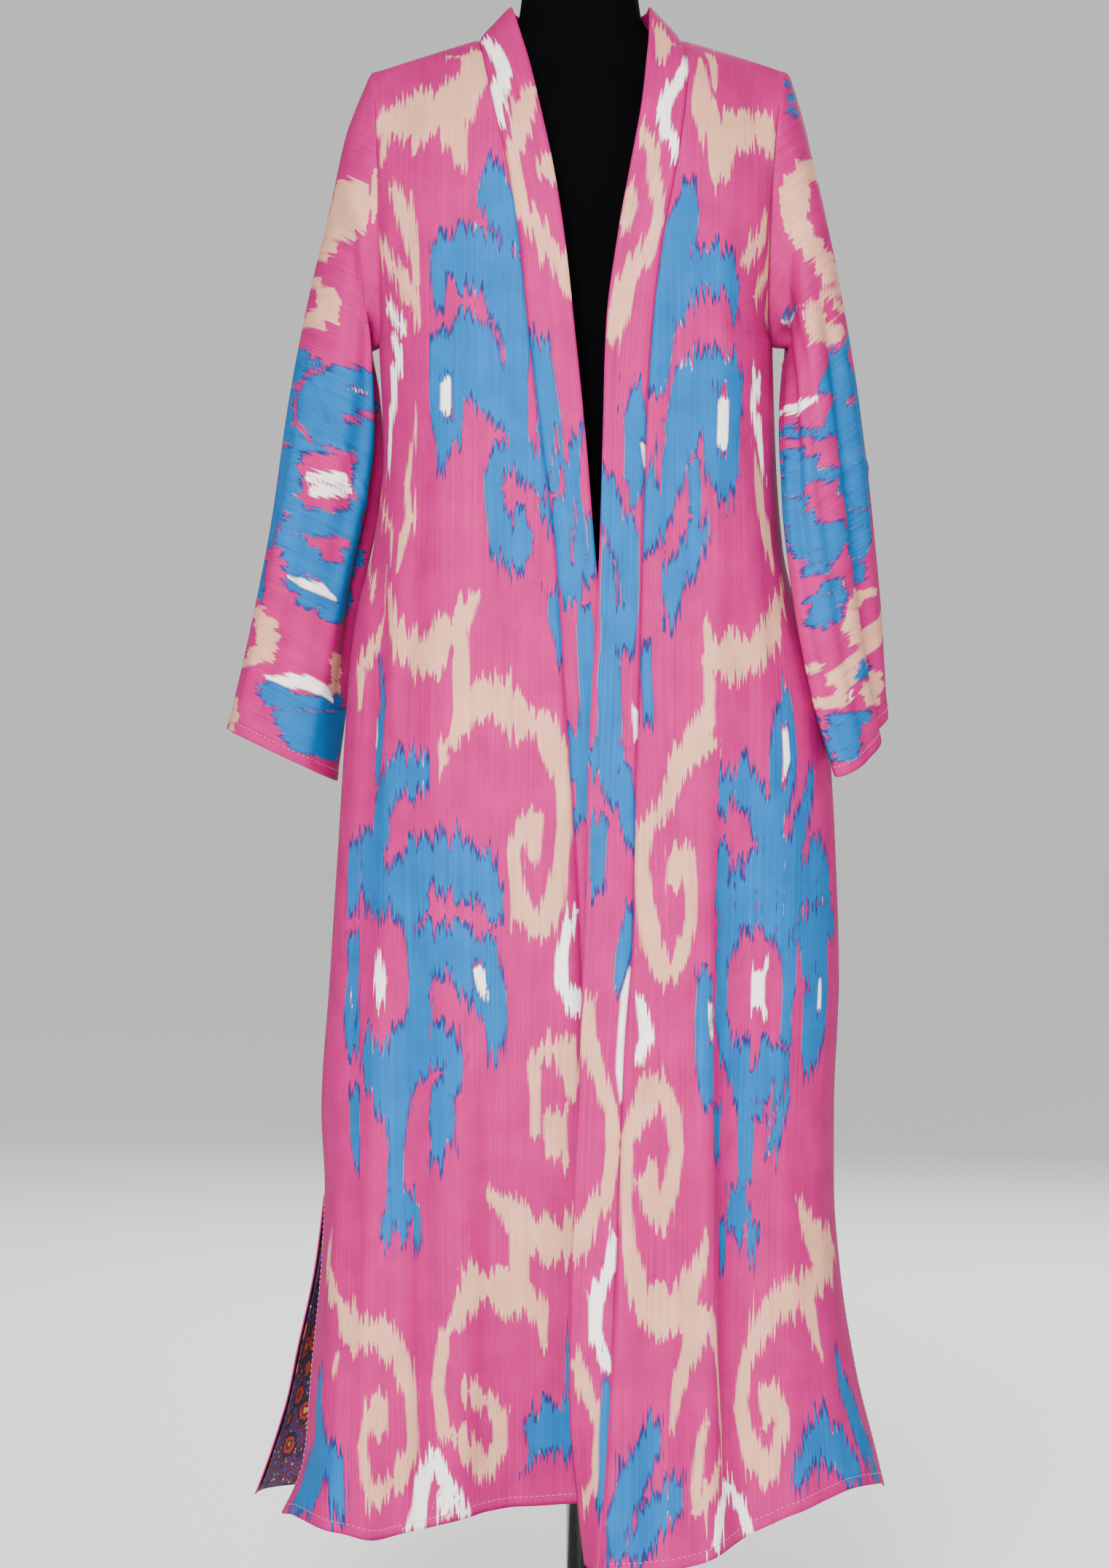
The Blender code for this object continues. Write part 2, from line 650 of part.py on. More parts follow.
def row_steps():
    """Hem to underarm evenly, then underarm to shoulder, closer at both ends."""
    low = np.arange(ROWS_LOW) / ROWS_LOW
    high = 1 + (1 - np.cos(np.arange(ROWS_HIGH + 1) / ROWS_HIGH * math.pi)) / 2
    return np.concatenate((low, high))


def back_steps():
    neck = np.arange(ROWS_NECK) / ROWS_NECK * NECK_SHARE
    shoulder = mix(NECK_SHARE, 1, np.arange(BACK_SHOULDER_COLUMNS + 1) / BACK_SHOULDER_COLUMNS)
    half = np.concatenate((neck, shoulder))
    return np.concatenate((-half[:0:-1], half))


def make_fronts():
    fronts = []
    s = np.linspace(0, 1, FRONT_COLUMNS + 1)
    for side in (-1, 1):
        points = front_point(side, s[None, :], row_steps()[:, None])
        fronts.append(Cloth("front_" + word(side), points, PINK, (0, -1, 0)))
    return fronts


def make_back():
    points = back_point(back_steps()[None, :], row_steps()[:, None])
    return Cloth("back", points, PINK, (0, 1, 0))


def make_bands():
    bands = []
    steps = np.concatenate((row_steps(), 2 + np.arange(1, ROWS_NECK + 1) / ROWS_NECK))
    r = np.linspace(0, 1, BAND_COLUMNS + 1)
    for side in (-1, 1):
        points = band_point(side, r[None, :], steps[:, None])
        bands.append(Cloth("band_" + word(side), points, SAND, (0, -1, 0)))
    return bands


def make_sleeves():
    sleeves = []
    turns = np.arange(2 * ROWS_HIGH) / (2 * ROWS_HIGH)
    t = (np.arange(SLEEVE_RINGS + 1) / SLEEVE_RINGS) ** 1.15
    for side in (-1, 1):
        points = sleeve_point(side, turns[None, :], t[:, None])
        sleeves.append(Cloth("sleeve_" + word(side), points, BLUE, None, ring=True))
    return sleeves


def make_lining(back):
    """Printed lining of the back skirt: the back's own points, moved in."""
    inside = back.points - back.normals * (WALL / 2 + LINING_GAP + LINING_WALL / 2)
    heights = back.points[:, 0, 2]
    rows = [i for i in range(len(heights)) if heights[i] < LINING_TOP_Z]
    points = inside[rows][:, 1:-1].copy()
    points[0] = points[0] + unit(points[1] - points[0]) * LINING_HEM
    return Cloth("back_lining", points, RED_PRINT, (0, 1, 0), wall=LINING_WALL)


def seat_z(reach):
    """Height of the form's shoulder, just under the coat that rests on it."""
    slope = (NECK_Z - TIP_Z) / (TIP_REACH - NECK_REACH)
    drop = (WALL / 2 + FORM_SEAT_GAP) * math.hypot(1, slope)
    return TIP_Z + (TIP_REACH - np.abs(reach)) * slope - drop


def form_section(z, width, front, back, angles):
    """One level of the form: an oval that stays under the coat's shoulders."""
    reach = width * np.cos(angles)
    sine = np.sin(angles)
    y = np.where(sine < 0, front, back) * sine
    rise = np.clip((z - UNDERARM_Z) / (seat_z(reach) - UNDERARM_Z), 0, 1)
    depths = [along(COAT, "z", name, UNDERARM_Z) for name in ("front_right", "back")]
    share = np.clip(np.abs(reach) / FORM_SHOULDER_REACH, 0, 1) ** 2.5
    room = np.where(sine < 0, *depths) * FORM_SHOULDER_SHARE * (1 - share) ** 0.4
    by_neck = 1 - ease((np.abs(reach) - FORM_NECK_FADE) / FORM_NECK_FADE)
    limit = room * np.sqrt(1 - rise**2) + FORM_NECK_DEPTH * by_neck
    return np.stack((reach, np.sign(sine) * np.minimum(np.abs(y), limit), 0 * reach + z), -1)


def make_form():
    angles = np.arange(FORM_SIDES) / FORM_SIDES * 2 * math.pi
    levels = []
    chest = np.linspace(*FORM_CHEST_Z, FORM_ROWS)
    for z in np.concatenate((FORM["z"][:2], chest, FORM["z"][-4:])):
        sizes = [along(FORM, "z", name, z) for name in ("width", "front", "back")]
        levels.append(form_section(z, *sizes, angles))
    for reach, front, back in zip(*FORM_SHOULDERS.values()):
        levels.append(form_section(seat_z(reach), reach, front, back, angles))
    for z, width, front, back in zip(*FORM_NECK.values()):
        sine = np.sin(angles)
        y = np.where(sine < 0, front, back) * sine
        levels.append(np.stack((width * np.cos(angles), y, 0 * angles + z), -1))
    mesh = bpy.data.meshes.new("form_body")
    bm = bmesh.new()
    rings = [[bm.verts.new(p) for p in level] for level in levels]
    for low, high in zip(rings, rings[1:]):
        for i in range(FORM_SIDES):
            n = (i + 1) % FORM_SIDES
            bm.faces.new((low[i], low[n], high[n], high[i]))
    bm.faces.new(rings[0][::-1])
    bm.faces.new(rings[-1])
    bmesh.ops.recalc_face_normals(bm, faces=bm.faces)
    bm.to_mesh(mesh)
    bm.free()
    place("form_body", mesh, BLACK_CLOTH, 0.9)


def make_pole():
    bm = bmesh.new()
    length = FORM_BOTTOM_Z - SOCKET_TOP_Z - 2 * SEAM_GAP
    radii = {"radius1": POLE_RADIUS, "radius2": POLE_RADIUS}
    bmesh.ops.create_cone(bm, cap_ends=True, segments=POLE_SIDES, depth=length, **radii)
    bmesh.ops.translate(bm, verts=bm.verts, vec=(0, 0, SOCKET_TOP_Z + SEAM_GAP + length / 2))
    mesh = bpy.data.meshes.new("form_pole")
    bm.to_mesh(mesh)
    bm.free()
    place("form_pole", mesh, STEEL, 0.3, 1.0)


def make_base():
    """Turned floor plate: its outline spun round the middle, closed top and bottom."""
    bm = bmesh.new()
    rings = []
    for radius, z in zip(*BASE.values()):
        turned = bmesh.ops.create_circle(bm, segments=BASE_SIDES, radius=radius)["verts"]
        bmesh.ops.translate(bm, verts=turned, vec=(0, 0, z))
        rings.append(turned)
    for low, high in zip(rings, rings[1:]):
        for i in range(BASE_SIDES):
            n = (i + 1) % BASE_SIDES
            bm.faces.new((low[i], low[n], high[n], high[i]))
    bm.faces.new(rings[0])
    bm.faces.new(rings[-1])
    bmesh.ops.recalc_face_normals(bm, faces=bm.faces)
    mesh = bpy.data.meshes.new("form_base")
    bm.to_mesh(mesh)
    bm.free()
    place("form_base", mesh, BLACK_PAINT, 0.4)


fronts = make_fronts()
back = make_back()
bands = make_bands()
sleeves = make_sleeves()
share_seam(fronts + [back] + bands + sleeves)
for side, piece in zip((-1, 1), fronts):
    heights = piece.points[:, 0, 2]
    closed = np.flatnonzero((heights > SLIT_TOP[side]) & (heights < UNDERARM_Z - SEAM_GAP))
    for edge in (FIRST_COLUMN, LAST_COLUMN):
        pull_back(piece, edge)
    piece.flatten((closed, 0), 1, -SEAM_GAP / 2)
    piece.flatten((-1, slice(None)), 1, -SEAM_GAP / 2)
heights = back.points[:, 0, 2].copy()
for edge in (FIRST_COLUMN, LAST_COLUMN, LAST_ROW):
    pull_back(back, edge)
for side, column in ((-1, 0), (1, -1)):
    closed = np.flatnonzero((heights > SLIT_TOP[side]) & (heights < UNDERARM_Z - SEAM_GAP))
    back.flatten((closed, column), 1, SEAM_GAP / 2)
shoulders = np.flatnonzero(np.abs(back_steps()) >= NECK_SHARE)
back.flatten((-1, shoulders), 1, SEAM_GAP / 2)
for piece in bands:
    pull_back(piece, FIRST_COLUMN)
    piece.flatten((-1, slice(None)), 0, SEAM_GAP / 2 * (-1 if piece is bands[0] else 1))
for piece in sleeves:
    pull_back(piece, FIRST_ROW, ARMHOLE_GAP)
lining = make_lining(back)
for piece in fronts + [back] + bands + sleeves + [lining]:
    piece.solid()
make_form()
make_pole()
make_base()
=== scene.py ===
# %% [markdown]
# # An ikat kaftan on a dress form
# The real coat is a long straight kaftan, sewn from a handful of cut pieces of ikat: two
# fronts, a back, two sleeves and one straight band that runs from hem to hem round the
# neck. It hangs on a black dress form. Everything here is in metres, +Z is up and the
# coat faces -Y. "right" and "left" are the wearer's, so the right pieces lie at -X.
#
# We first load the imported CAD model. It is a fixed frame: we hide its nodes behind
# finer pieces of our own, and never move them.

# %% Load the frame
import math

import bmesh
import bpy
import numpy as np
from mathutils import Matrix, Vector


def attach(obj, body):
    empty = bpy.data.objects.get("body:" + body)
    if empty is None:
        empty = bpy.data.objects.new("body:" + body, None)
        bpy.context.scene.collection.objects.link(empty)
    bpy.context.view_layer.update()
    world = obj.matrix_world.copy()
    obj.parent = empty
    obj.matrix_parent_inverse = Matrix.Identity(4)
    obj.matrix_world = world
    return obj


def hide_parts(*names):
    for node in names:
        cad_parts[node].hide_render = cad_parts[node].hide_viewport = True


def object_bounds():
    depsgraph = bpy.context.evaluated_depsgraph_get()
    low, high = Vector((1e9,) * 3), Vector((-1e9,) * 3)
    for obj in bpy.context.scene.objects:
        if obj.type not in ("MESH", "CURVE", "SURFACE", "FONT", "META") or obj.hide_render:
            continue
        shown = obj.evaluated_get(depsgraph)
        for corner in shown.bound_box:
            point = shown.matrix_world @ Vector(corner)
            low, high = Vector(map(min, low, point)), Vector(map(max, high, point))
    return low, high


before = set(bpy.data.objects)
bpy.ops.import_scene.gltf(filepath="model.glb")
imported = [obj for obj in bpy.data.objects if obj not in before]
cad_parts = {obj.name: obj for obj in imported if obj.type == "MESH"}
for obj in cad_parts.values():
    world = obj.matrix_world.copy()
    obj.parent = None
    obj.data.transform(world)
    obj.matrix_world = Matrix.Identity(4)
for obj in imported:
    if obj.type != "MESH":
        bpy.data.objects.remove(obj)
cad_low, cad_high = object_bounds()
cad_size = [round(high - low, 4) for low, high in zip(cad_low, cad_high)]
print("the frame is", cad_size, "metres")

# %% [markdown]
# ## Two small helpers
# Colours are written as the hex codes a paint program shows, and turned into the linear
# light values that the shaders need. Every object is linked to the scene at the origin,
# so its points are already in the frame's own metres.

# %% Colour and object helpers
def linear(code):
    """An sRGB hex colour as linear red, green, blue and alpha."""
    parts = [int(code[i:i + 2], 16) / 255 for i in (1, 3, 5)]
    return [c / 12.92 if c <= 0.04045 else ((c + 0.055) / 1.055) ** 2.4 for c in parts] + [1.0]


def link(name, data):
    """A new object at the origin, in the scene."""
    item = bpy.data.objects.new(name, data)
    bpy.context.scene.collection.objects.link(item)
    return item


print("a middle grey is", round(linear("#808080")[0], 3), "in linear light")

# %% [markdown]
# ## Camera and floor
# The photograph is a plain studio view from straight ahead, a little above the coat's
# middle. A camera 3 m away with a 77 mm lens on a 36 mm long side sees the same 1.4 m of
# height. The floor is one wide pale sheet.

# %% Camera and floor
CAMERA_AT = (-0.02275, -3.0, 0.81)
LENS_MM = 77.2
LONG_SIDE_MM = 36
FLOOR_HALF = 30.0
PAPER = "#FAFAFA"

camera = link("photo_camera", bpy.data.cameras.new("photo_camera"))
camera.location = CAMERA_AT
camera.rotation_euler = (math.pi / 2, 0, 0)
camera.data.sensor_width = LONG_SIDE_MM
camera.data.lens = LENS_MM
bpy.context.scene.camera = camera

floor_mesh = bpy.data.meshes.new("floor")
bm = bmesh.new()
bmesh.ops.create_grid(bm, x_segments=1, y_segments=1, size=FLOOR_HALF)
bm.to_mesh(floor_mesh)
bm.free()
floor = link("floor", floor_mesh)
paper = bpy.data.materials.new("pale_matt_floor")
paper.use_nodes = True
matt = paper.node_tree.nodes["Principled BSDF"]
matt.inputs["Base Color"].default_value = linear(PAPER)
matt.inputs["Roughness"].default_value = 1.0
floor_mesh.materials.append(paper)
print("the camera stands", -CAMERA_AT[1], "m in front of the coat")

# %% [markdown]
# ## Light
# The light is soft: a bright pale world with three large square lights. The strongest is
# near the camera, a little to its left. A weaker one on the right fills the shadows, and
# one behind gives the shoulders a thin bright edge.

# %% Light
SKY = "#FBFBFC"
SKY_STRENGTH = 0.72
LIGHTS = {
    "key": ((-0.5, -3.5, 1.7), (0, 0, 0.8), 1.3, 300),
    "fill": ((2.6, -2.6, 1.7), (0, 0, 0.8), 2.2, 40),
    "rear": ((0.6, 3.0, 2.6), (0, 0, 0.9), 2.0, 110),
}

world = bpy.data.worlds.new("pale_studio")
world.use_nodes = True
world.node_tree.nodes["Background"].inputs["Color"].default_value = linear(SKY)
world.node_tree.nodes["Background"].inputs["Strength"].default_value = SKY_STRENGTH
bpy.context.scene.world = world


def soft_light(name, place, aim, size, watts):
    """A large square light that looks at a point."""
    lamp = bpy.data.lights.new(name, "AREA")
    lamp.size = size
    lamp.energy = watts
    item = link(name, lamp)
    item.location = place
    item.rotation_euler = (Vector(aim) - Vector(place)).to_track_quat("-Z", "Y").to_euler()


for name, values in LIGHTS.items():
    soft_light(name, *values)
print(len(LIGHTS), "soft lights and a pale sky")

# %% [markdown]
# ## The coat's own sizes
# A tailor works from a few measures. These are the same ones the CAD model was built
# from, so every fine piece lands exactly on its CAD node. A name that ends in Z is a
# height over the floor, and a REACH is a distance from the middle line.

# %% Sizes of the hanging coat
WALL = 0.0016
SEAM_GAP = 0.0003
BAND_TOP_Z = 1.502
BAND_TOP_REACH = 0.061
BAND_BACK_Y = 0.060
BAND_BACK_DROP = 0.004
NECK_REACH = 0.089
NECK_Z = 1.472
NECK_BACK_Y = 0.078
NECK_BACK_DROP = 0.012
TIP_REACH = 0.186
TIP_Z = 1.444
UNDERARM_Z = 1.200
ARMHOLE_FRONT = 0.055
ARMHOLE_BACK = 0.065
ARMHOLE_BOW = {-1: 0.005, 1: 0.011}
NECK_SHARE = 0.45
FRONT_POWER = 2.6
BACK_POWER = 2.4
SLIT_TOP = {-1: 0.442, 1: 0.475}
SLIT_GAP_FRONT = 0.040
SLIT_GAP_BACK = 0.055
BACK_HEM_Z = 0.158
LINING_WALL = 0.0010
LINING_GAP = 0.0009
LINING_TOP_Z = 0.600
SLEEVE_HANG = (0.20, 0.0, -0.98)
FOLD_EDGE_FADE = 0.12
FOLD_TOP_FROM = 0.4
FOLD_TOP_FADE = 0.5
BACK_EDGE_FADE = 0.08
FALL_FROM = 0.35
SLIT_POWER = 1.4
SLIT_LIMIT = 1.2
ARMHOLE_WIDE = 0.3
ARMHOLE_ROUND = 0.5
ARMHOLE_SOFT = 2.0
SLEEVE_TOP_SHARE = 0.3
SLEEVE_HANG_POWER = 0.5
print("the coat hangs from", BACK_HEM_Z, "to", BAND_TOP_Z, "m over the floor")

# %% [markdown]
# ## Reading a table
# A table is a few named columns. `along` reads one column as a smooth curve that never
# overshoots, so a hem between two measured points stays between their heights.

# %% Tables and curves
def chart(columns, *rows):
    """A short table of sizes: one array for each named column."""
    return dict(zip(columns.split(), np.array(rows, dtype=float).T))


def along(table, key, column, at):
    """Read a column of a table as a smooth curve that keeps its rises and falls."""
    xs = table[key]
    ys = table[column]
    steps = np.diff(xs)
    slopes = np.diff(ys) / steps
    before = slopes[:-1]
    after = slopes[1:]
    same = before * after > 0
    middle = np.where(same, 2 * before * after / np.where(same, before + after, 1), 0)
    ends = np.concatenate(([slopes[0]], middle, [slopes[-1]]))
    at = np.clip(at, xs[0], xs[-1])
    i = np.clip(np.searchsorted(xs, at) - 1, 0, len(xs) - 2)
    u = (at - xs[i]) / steps[i]
    start = (1 + 2 * u) * (1 - u) ** 2 * ys[i] + u * (1 - u) ** 2 * steps[i] * ends[i]
    finish = u**2 * (3 - 2 * u) * ys[i + 1] - u**2 * (1 - u) * steps[i] * ends[i + 1]
    return start + finish


def mix(low, high, share):
    """The value that lies a share of the way from low to high."""
    return low + (high - low) * share


def ease(share):
    """A share from 0 to 1 that starts and ends gently."""
    share = np.clip(share, 0, 1)
    return share * share * (3 - 2 * share)


def ridge(distance, spread):
    """A rounded ridge: 1 on its line, and nearly 0 at twice the spread."""
    return np.exp(-((distance / spread) ** 2))


def word(side):
    """The name of a side: -1 is right and 1 is left."""
    return "right" if side < 0 else "left"


print("halfway eased is", float(ease(0.5)))

# %% [markdown]
# ## Widths of the coat
# The coat is a flat oval at each height: half its width towards each side, and its depth
# to the front and to the back. Below the slits the back swings out past the fronts.

# %% Widths of the coat
# Half widths and depths of the hanging coat at each height
COAT = chart(
    "z right left front_right front_left back",
    (0.14, 0.276, 0.278, 0.165, 0.205, 0.170),
    (0.22, 0.242, 0.260, 0.163, 0.193, 0.162),
    (0.29, 0.237, 0.243, 0.162, 0.184, 0.157),
    (0.38, 0.229, 0.2295, 0.160, 0.174, 0.150),
    (0.455, 0.226, 0.2245, 0.158, 0.167, 0.146),
    (0.52, 0.229, 0.2245, 0.156, 0.162, 0.142),
    (0.64, 0.2215, 0.229, 0.151, 0.156, 0.136),
    (0.76, 0.214, 0.2255, 0.147, 0.151, 0.132),
    (0.865, 0.2075, 0.2185, 0.144, 0.148, 0.128),
    (0.92, 0.2035, 0.206, 0.142, 0.146, 0.126),
    (0.97, 0.196, 0.190, 0.140, 0.144, 0.124),
    (1.02, 0.183, 0.179, 0.138, 0.141, 0.122),
    (1.10, 0.174, 0.173, 0.135, 0.137, 0.118),
    (1.20, 0.178, 0.170, 0.130, 0.131, 0.112),
)
# Half width of the back below the side slits, where it swings out past the fronts
BACK_SKIRT = chart(
    "z right left",
    (0.14, 0.304, 0.284),
    (0.18, 0.288, 0.274),
    (0.22, 0.274, 0.262),
    (0.26, 0.262, 0.252),
    (0.30, 0.2535, 0.243),
    (0.38, 0.236, 0.2305),
    (0.455, 0.226, 0.2245),
)
print("the coat is read at", len(COAT["z"]), "heights")

# %% [markdown]
# ## The front edges
# Neither front edge is straight once the coat hangs. The fronts stand open in a narrow V
# down to the waist, and below it the left front lies over the right one.

# %% The front edges
# Seam between front and band, and the band's free edge, as distances from the
# middle line towards each front's own side (below zero: past the middle)
EDGES = chart(
    "z seam_right edge_right seam_left edge_left",
    (0.14, -0.0105, -0.0525, 0.0130, 0.0045),
    (0.20, -0.0105, -0.0525, 0.0170, -0.0025),
    (0.30, -0.0100, -0.0520, 0.0238, -0.0104),
    (0.45, -0.0070, -0.0490, 0.0315, -0.0071),
    (0.58, -0.0030, -0.0450, 0.0358, -0.0012),
    (0.70, 0.0020, -0.0395, 0.0446, 0.0018),
    (0.80, 0.0082, -0.0330, 0.0459, 0.0050),
    (0.90, 0.0152, -0.0255, 0.0497, 0.0092),
    (1.00, 0.0210, -0.0127, 0.0522, 0.0149),
    (1.10, 0.0333, -0.0045, 0.0553, 0.0180),
    (1.20, 0.0454, 0.0055, 0.0612, 0.0210),
    (1.28, 0.0535, 0.0142, 0.0710, 0.0312),
    (1.34, 0.0628, 0.0235, 0.0823, 0.0418),
    (1.40, 0.0755, 0.0358, 0.0912, 0.0525),
    (1.44, 0.0842, 0.0445, 0.0945, 0.0570),
    (1.472, 0.0890, 0.0530, 0.0890, 0.0600),
    (1.502, 0.0890, 0.0610, 0.0890, 0.0610),
)
# How much higher the band's free edge lies than its seam, how far the edge of the
# upper band turns back near the hem, and how far the under front falls back
CENTRE = chart(
    "z lift turn fall",
    (0.14, 0.000, 0.042, 0.075),
    (0.22, 0.000, 0.030, 0.052),
    (0.30, 0.000, 0.012, 0.034),
    (0.45, 0.001, 0.000, 0.018),
    (0.60, 0.001, 0.000, 0.010),
    (0.80, 0.002, 0.000, 0.004),
    (0.95, 0.003, 0.000, 0.000),
    (1.10, 0.006, 0.000, 0.000),
    (1.30, 0.009, 0.000, 0.000),
    (1.40, 0.010, 0.000, 0.000),
    (1.44, 0.014, 0.000, 0.000),
    (1.472, 0.030, 0.000, 0.000),
)
print("the front edges are read at", len(EDGES["z"]), "heights")

# %% [markdown]
# ## The hems
# The hem waves a little, because every fold shortens the cloth above it. The columns of
# the back's grid start along the neck and the shoulders, and a table says how far round
# the oval each of them hangs.

# %% The hems
# Where the back's columns hang, from the middle (90 degrees) to the side (0)
BACK_COLUMNS = chart("s turn", (0, 90), (NECK_SHARE, 60), (1, 0))
# Height of each front's hem, from its side edge (0) to its seam (1)
HEM = {
    -1: chart(
        "s z",
        (0, 0.1685),
        (0.2, 0.1765),
        (0.45, 0.171),
        (0.6, 0.1625),
        (0.8, 0.182),
        (1, 0.1915),
    ),
    1: chart(
        "s z",
        (0, 0.1915),
        (0.15, 0.2035),
        (0.36, 0.209),
        (0.6, 0.1965),
        (0.8, 0.168),
        (0.92, 0.153),
        (1, 0.152),
    ),
}
# Height of the back's hem from the right side (-1) to the left one (1)
BACK_HEM = chart("s z", (-1, 0.165), (-0.5, 0.158), (0.4, 0.160), (1, 0.181))
print("the lowest point of a front's hem is at", min(HEM[1]["z"]), "m")

# %% [markdown]
# ## The soft folds
# Cloth held at the shoulders falls in soft upright folds that open towards the hem. Each
# fold is a line with a rounded ridge, or a valley where it stands out by less than zero.
# The keys are the right front, the left front, and 0 for the back.

# %% The soft folds
# Soft folds: a line from low to high, with its spread and how far it stands out
FOLDS = {
    -1: chart(
        "low high z_low z_high spread proud",
        (0.205, 0.190, 0.14, 0.60, 0.022, 0.008),
        (0.160, 0.150, 0.14, 0.66, 0.018, -0.008),
        (0.105, 0.090, 0.14, 0.72, 0.020, 0.007),
        (0.060, 0.050, 0.14, 0.60, 0.016, -0.006),
        (0.196, 0.168, 0.66, 1.06, 0.012, -0.007),
        (0.120, 0.130, 0.95, 1.28, 0.020, 0.005),
    ),
    1: chart(
        "low high z_low z_high spread proud",
        (0.103, 0.107, 0.05, 1.00, 0.015, 0.010),
        (0.137, 0.135, 0.05, 1.00, 0.018, -0.015),
        (0.190, 0.178, 0.14, 0.90, 0.018, 0.007),
        (0.062, 0.070, 0.14, 0.60, 0.014, -0.005),
        (0.120, 0.130, 1.00, 1.30, 0.018, 0.005),
    ),
    0: chart(
        "low high z_low z_high spread proud",
        (-0.215, -0.180, 0.14, 0.80, 0.022, 0.010),
        (-0.160, -0.130, 0.14, 0.90, 0.020, -0.011),
        (-0.105, -0.085, 0.14, 1.02, 0.022, 0.011),
        (-0.050, -0.040, 0.14, 0.86, 0.020, -0.009),
        (0.012, 0.005, 0.14, 1.05, 0.024, 0.010),
        (0.072, 0.060, 0.14, 0.88, 0.020, -0.010),
        (0.128, 0.100, 0.14, 1.00, 0.022, 0.011),
        (0.180, 0.150, 0.14, 0.84, 0.020, -0.010),
        (0.225, 0.190, 0.14, 0.76, 0.022, 0.009),
    ),
}
print(sum(len(table["low"]) for table in FOLDS.values()), "soft folds")

# %% [markdown]
# ## The hanging surface of a front
# A front is described by two numbers: s runs across it and t up it. Up to the underarm it
# follows the oval, and above it the depth shrinks to nothing at the shoulder seam.

# %% The fronts' surface
def slit_gap(side, z, most):
    """How far an edge swings away from the side line below the slit's top."""
    top = SLIT_TOP[side]
    share = np.clip((top - z) / (top - BACK_HEM_Z), 0, SLIT_LIMIT)
    return most * share**SLIT_POWER


def fold_depth(folds, x, z):
    """How far the soft folds stand out at a place on a panel."""
    total = np.zeros(np.broadcast(x, z).shape)
    for low, high, z_low, z_high, spread, proud in zip(*folds.values()):
        rise = np.clip((z - z_low) / (z_high - z_low), 0, 1)
        line = mix(low, high, rise)
        total = total + proud * (1 - rise**2) * ridge(x - line, spread)
    return total


def front_y(side, reach, z):
    """Depth of a front's hanging surface where it is 'reach' from the middle line."""
    width = along(COAT, "z", word(side), z)
    deep = along(COAT, "z", "front_" + word(side), z)
    gap = slit_gap(side, z, SLIT_GAP_FRONT)
    share = np.clip(np.abs(reach) / width, 0, 1) ** FRONT_POWER
    return -(gap + (deep - gap) * (1 - share) ** (1 / FRONT_POWER))


def centre_fall(side, share, z):
    """The under front falls back towards its seam near the hem."""
    if side > 0:
        return 0 * share
    return along(CENTRE, "z", "fall", z) * ease((share - FALL_FROM) / (1 - FALL_FROM))


def low_reach(side, s, z):
    """Where column s of a front lies between the side (0) and the seam (1)."""
    width = along(COAT, "z", word(side), z)
    seam = along(EDGES, "z", "seam_" + word(side), z) / width
    bend = np.sign(seam) * np.abs(seam) ** (FRONT_POWER / 2)
    turn = np.arccos(bend) * s
    return width * np.sign(np.cos(turn)) * np.abs(np.cos(turn)) ** (2 / FRONT_POWER)


def armhole_bump(rise, across):
    """Bow of the armhole: round at its own edge, softer further in."""
    power = mix(ARMHOLE_ROUND, ARMHOLE_SOFT, np.clip(across / ARMHOLE_WIDE, 0, 1))
    return (4 * rise * (1 - rise)) ** power * (1 - across) ** 2


def front_point(side, s, t):
    """Middle surface of a front: t is 0 at the hem, 1 at the underarm, 2 at the top."""
    s, t = np.broadcast_arrays(np.asarray(s, float), np.asarray(t, float))
    rise = np.clip(t - 1, 0, 1)
    hem = along(HEM[side], "s", "z", s)
    low_z = mix(hem, UNDERARM_Z, np.clip(t, 0, 1))
    reach = low_reach(side, s, low_z)
    y = front_y(side, reach, low_z) + centre_fall(side, s, low_z)
    width = along(COAT, "z", word(side), UNDERARM_Z)
    low_seam = along(EDGES, "z", "seam_" + word(side), UNDERARM_Z)
    share = mix((width - reach) / (width - low_seam), s, ease(rise))
    z = low_z + (mix(TIP_Z, NECK_Z, s) - UNDERARM_Z) * rise
    bow = ARMHOLE_BOW[side] * armhole_bump(rise, 0 * s)
    armhole = mix(width, TIP_REACH, rise) - bow
    seam = along(EDGES, "z", "seam_" + word(side), z)
    high_reach = mix(armhole, seam, share)
    high_y = y * np.sqrt(1 - rise**2) - ARMHOLE_FRONT * armhole_bump(rise, s)
    reach = np.where(t > 1, high_reach, reach)
    y = np.where(t > 1, high_y, y)
    hold = ease(s / FOLD_EDGE_FADE) * ease((1 - s) / FOLD_EDGE_FADE)
    hold = hold * (1 - ease((rise - FOLD_TOP_FROM) / FOLD_TOP_FADE))
    y = y - fold_depth(FOLDS[side], reach, z) * hold
    return np.stack((side * reach, y, z), -1)


print("the left front's hem meets its seam at", round(float(front_point(1, 1, 0)[2]), 3), "m")

# %% [markdown]
# ## The hanging surface of the back
# The back is one piece from side to side. Its top edge follows the shoulder seams and
# dips in a round curve behind the neck.

